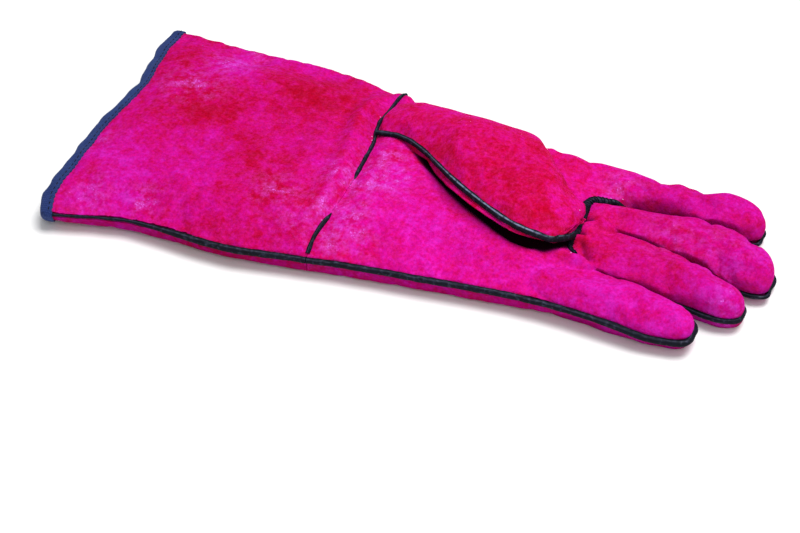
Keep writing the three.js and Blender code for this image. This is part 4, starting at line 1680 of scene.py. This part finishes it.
def paint(piece, name, patches, ground=0.0):
    """Paints soft round patches into an attribute that the leather's material reads."""
    plan = plan_of(points_of(piece))
    values = np.full(len(plan), ground)
    for patch in patches:
        gap = np.hypot(plan[:, 0] - patch.x, plan[:, 1] - patch.y)
        values += patch.amount * bump(gap, patch.radius)
    store(piece, name, values)


# Which way the ridge with the painted highlight faces
HIGHLIGHT_DIRECTION = Vector((-0.1, -0.42, 0.9)).normalized()
# How bright the painted highlight is on the ridge of the thumb's piping, along x
THUMB_HIGHLIGHT = [(153, 0.15), (195, 0.3), (215, 0.9), (270, 1), (279, 0.4), (290, 0.1)]
OTHER_HIGHLIGHT = 0.12
# How far along a route its direction is blended, and how squarely the ridge with the painted highlight faces
# its direction
HIGHLIGHT_BLEND = 8
HIGHLIGHT_FACING = (0.972, 0.998)


def paint_highlight(piece, route):
    """Paints a highlight along the ridge of a piping, where it faces one fixed direction."""
    points = points_of(piece)
    middles = np.array([(low + high) / 2 for low, high in zip(route[:-1], route[1:])])
    steps = np.array([(high - low).normalized() for low, high in zip(route[:-1], route[1:])])
    near = bump(np.linalg.norm(points[:, None] - middles[None], axis=2) / MM, HIGHLIGHT_BLEND) + 1e-9
    along = near @ steps
    along /= np.linalg.norm(along, axis=1)[:, None]
    ridge = np.array(HIGHLIGHT_DIRECTION) - along * (along @ np.array(HIGHLIGHT_DIRECTION))[:, None]
    ridge /= np.linalg.norm(ridge, axis=1)[:, None]
    facing = fade((normals_of(piece) * ridge).sum(1), *HIGHLIGHT_FACING)
    amount = OTHER_HIGHLIGHT
    if piece.name.startswith("thumb"):
        amount = table_at(THUMB_HIGHLIGHT, plan_of(points)[:, 0])
    store(piece, "painted_highlight", facing * amount)


SMOOTH_ANGLE = 50


def dress(piece, material, slot, *nodes):
    """Gives a piece its material, smooth shading and its body, and hides the nodes that it replaces; the
    slot is not used.
    """
    piece.data.materials.clear()
    piece.data.materials.append(material)
    pick(piece)
    bpy.ops.object.shade_smooth_by_angle(angle=math.radians(SMOOTH_ANGLE))
    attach(piece, "root")
    if nodes:
        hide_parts(*nodes)


CAMERA_AZIMUTH = 22
CAMERA_ELEVATION = 42
CAMERA_DISTANCE = 1.5
CAMERA_AIM = (196.8, -42.5)
CAMERA_LENS = 119.34


def set_camera():
    """The camera that was fitted to the photo."""
    bpy.ops.object.camera_add()
    camera = bpy.context.object
    camera.name = "studio_camera"
    azimuth = math.radians(CAMERA_AZIMUTH)
    elevation = math.radians(CAMERA_ELEVATION)
    back = Vector((
        math.sin(azimuth) * math.cos(elevation),
        -math.cos(azimuth) * math.cos(elevation),
        math.sin(elevation),
    ))
    camera.location = place(*CAMERA_AIM) + back * CAMERA_DISTANCE
    camera.rotation_mode = "QUATERNION"
    camera.rotation_quaternion = (-back).to_track_quat("-Z", "Y")
    camera.data.sensor_width = 36
    camera.data.lens = CAMERA_LENS
    bpy.context.scene.camera = camera


def area_light(name, position, size, power):
    """A square light that faces the middle of the floor."""
    bpy.ops.object.light_add(type="AREA", location=position)
    light = bpy.context.object
    light.name = name
    light.data.shape = "SQUARE"
    light.data.size = size
    light.data.energy = power
    light.rotation_mode = "QUATERNION"
    light.rotation_quaternion = Vector(position).to_track_quat("Z", "Y")


def set_stage():
    """A pale floor, an even sky and two large lights."""
    bpy.ops.mesh.primitive_plane_add(size=12, location=(0, 0, 0))
    floor = bpy.context.object
    floor.name = "studio_floor"
    material, tree, shader = new_material("studio_floor")
    looks = {"Base Color": (0.93, 0.93, 0.93, 1), "Roughness": 0.9, "Specular IOR Level": 0.1}
    set_inputs(tree, shader, looks)
    floor.data.materials.append(material)
    world = bpy.data.worlds.new("studio")
    bpy.context.scene.world = world
    world.use_nodes = True
    background = world.node_tree.nodes["Background"]
    background.inputs["Color"].default_value = (1, 1, 1, 1)
    background.inputs["Strength"].default_value = 0.3
    area_light("key_light", (1.4, 1.0, 6.0), 3.6, 385)
    area_light("fill_light", (3.2, -3.6, 4.8), 4.8, 120)
    scene = bpy.context.scene
    scene.view_settings.view_transform = "Standard"


def make_leather():
    """The panels of leather and the tape, with the shape of the whole skin and the thumb's seams."""
    skin = glove_skin()
    pin_seams(skin)
    puff(skin, SKIN_GROWTH, SKIN_CAP)
    shape_skin(skin)
    refine(skin)
    roughen(skin)
    skin_tree = tree_of(skin)

    thumb, thumb_lines = thumb_skin()
    pin_thumb(thumb)
    puff(thumb, THUMB_GROWTH, THUMB_CAP)
    refine(thumb)
    roughen(thumb)

    tape = binding_tape(skin)
    leather = panels_of(skin)
    drop_hidden(leather["palm_leather"], thumb, PALM_HIDDEN)
    thumb_halves = thumb_panels(thumb, skin)
    open_seam(thumb_halves["thumb_front_leather"], thumb_lines[0], 1.0)
    open_seam(thumb_halves["thumb_back_leather"], thumb_lines[0], -1.0)
    round_strip(thumb_halves["thumb_back_leather"])
    leather.update(thumb_halves)
    for piece in leather.values():
        sway_piece(piece)
        thicken(piece, WALL)
    sway_piece(tape)
    bpy.data.objects.remove(skin)
    return leather, tape, skin_tree, thumb_lines


def seam_routes(skin_tree, thumb_lines):
    """The route of each piping, by the node that the piping replaces."""
    index_side = body_edge("far", WRIST_FAR[0] + WELT_GAP, OUTER_FINGER_START)
    little_side = body_edge("near", WRIST_NEAR[0] + WELT_GAP, OUTER_FINGER_START)
    return {
        "cuff_near_welt": body_edge("near", TAPE_EDGE - 1, WRIST_NEAR[0] - WELT_GAP),
        "cuff_far_welt": body_edge("far", TAPE_EDGE - 1, WRIST_FAR[0] - WELT_GAP),
        "wrist_welt": wrist_edge(skin_tree),
        "index_finger_welt": index_side + finger_edge(FINGERS["index"]),
        "middle_finger_welt": finger_edge(FINGERS["middle"]),
        "ring_finger_welt": finger_edge(FINGERS["ring"]),
        "little_finger_welt": finger_edge(FINGERS["little"]) + little_side[::-1],
        "finger_base_welt": base_edge(skin_tree),
        "thumb_welt": thumb_edge(thumb_lines),
    }


def shares_of(node, route):
    """How thick a piping is at each point of its route, in shares of its radius."""
    if node == "wrist_welt":
        shown = [wrist_shown(plan_of(point)[1]) for point in route]
        return [WRIST_WELT_LEAST + (1 - WRIST_WELT_LEAST) * share for share in shown]
    if node == "finger_base_welt":
        return [float(table_at(BASE_SWELLS, plan_of(point)[1])) for point in route]
    swells = WELT_SWELLS.get(node, [(0, 1)])
    return [float(table_at(swells, plan_of(point)[0])) for point in route]


def make_glove():
    """Makes, paints and dresses every piece of the glove."""
    leather, tape, skin_tree, thumb_lines = make_leather()
    routes = seam_routes(skin_tree, thumb_lines)
    pipings = {}
    for node, route in routes.items():
        radius = WELT_RADII.get(node, WELT_RADIUS)
        name = node.replace("welt", "piping")
        pipings[node] = piping(name, sway_route(route), radius, shares_of(node, route))

    nap = nap_group()
    suede = suede_material(nap)
    dark = piping_material(nap)
    for name, piece in leather.items():
        on_thumb = name.startswith("thumb")
        paint(piece, "tone", THUMB_TONES if on_thumb else TONES)
        paint(piece, "scuff", [] if on_thumb else SCUFFS, SCUFF_GROUND)
        # Painted shade in the folds, under the seams and under the thumb
        paint_shade(piece)
        dress(piece, suede, "suede_leather", name.replace("leather", "panel"))
    for node, piece in pipings.items():
        # A painted highlight along each piping's ridge
        paint_highlight(piece, routes[node])
        dress(piece, dark, "piping", node)
    dress(tape, tape_material(nap), "binding_tape", "cuff_binding")
    dress(tape_stitches(tape), dark, "piping")
    base_route = sway_route(routes["finger_base_welt"])
    thread = overcast("finger_base_thread", base_route, WELT_RADII["finger_base_welt"])
    dress(thread, dark, "piping")
    dress(needle_marks(list(leather.values())), tuft_material(nap), "suede_leather")


make_glove()
set_stage()
set_camera()
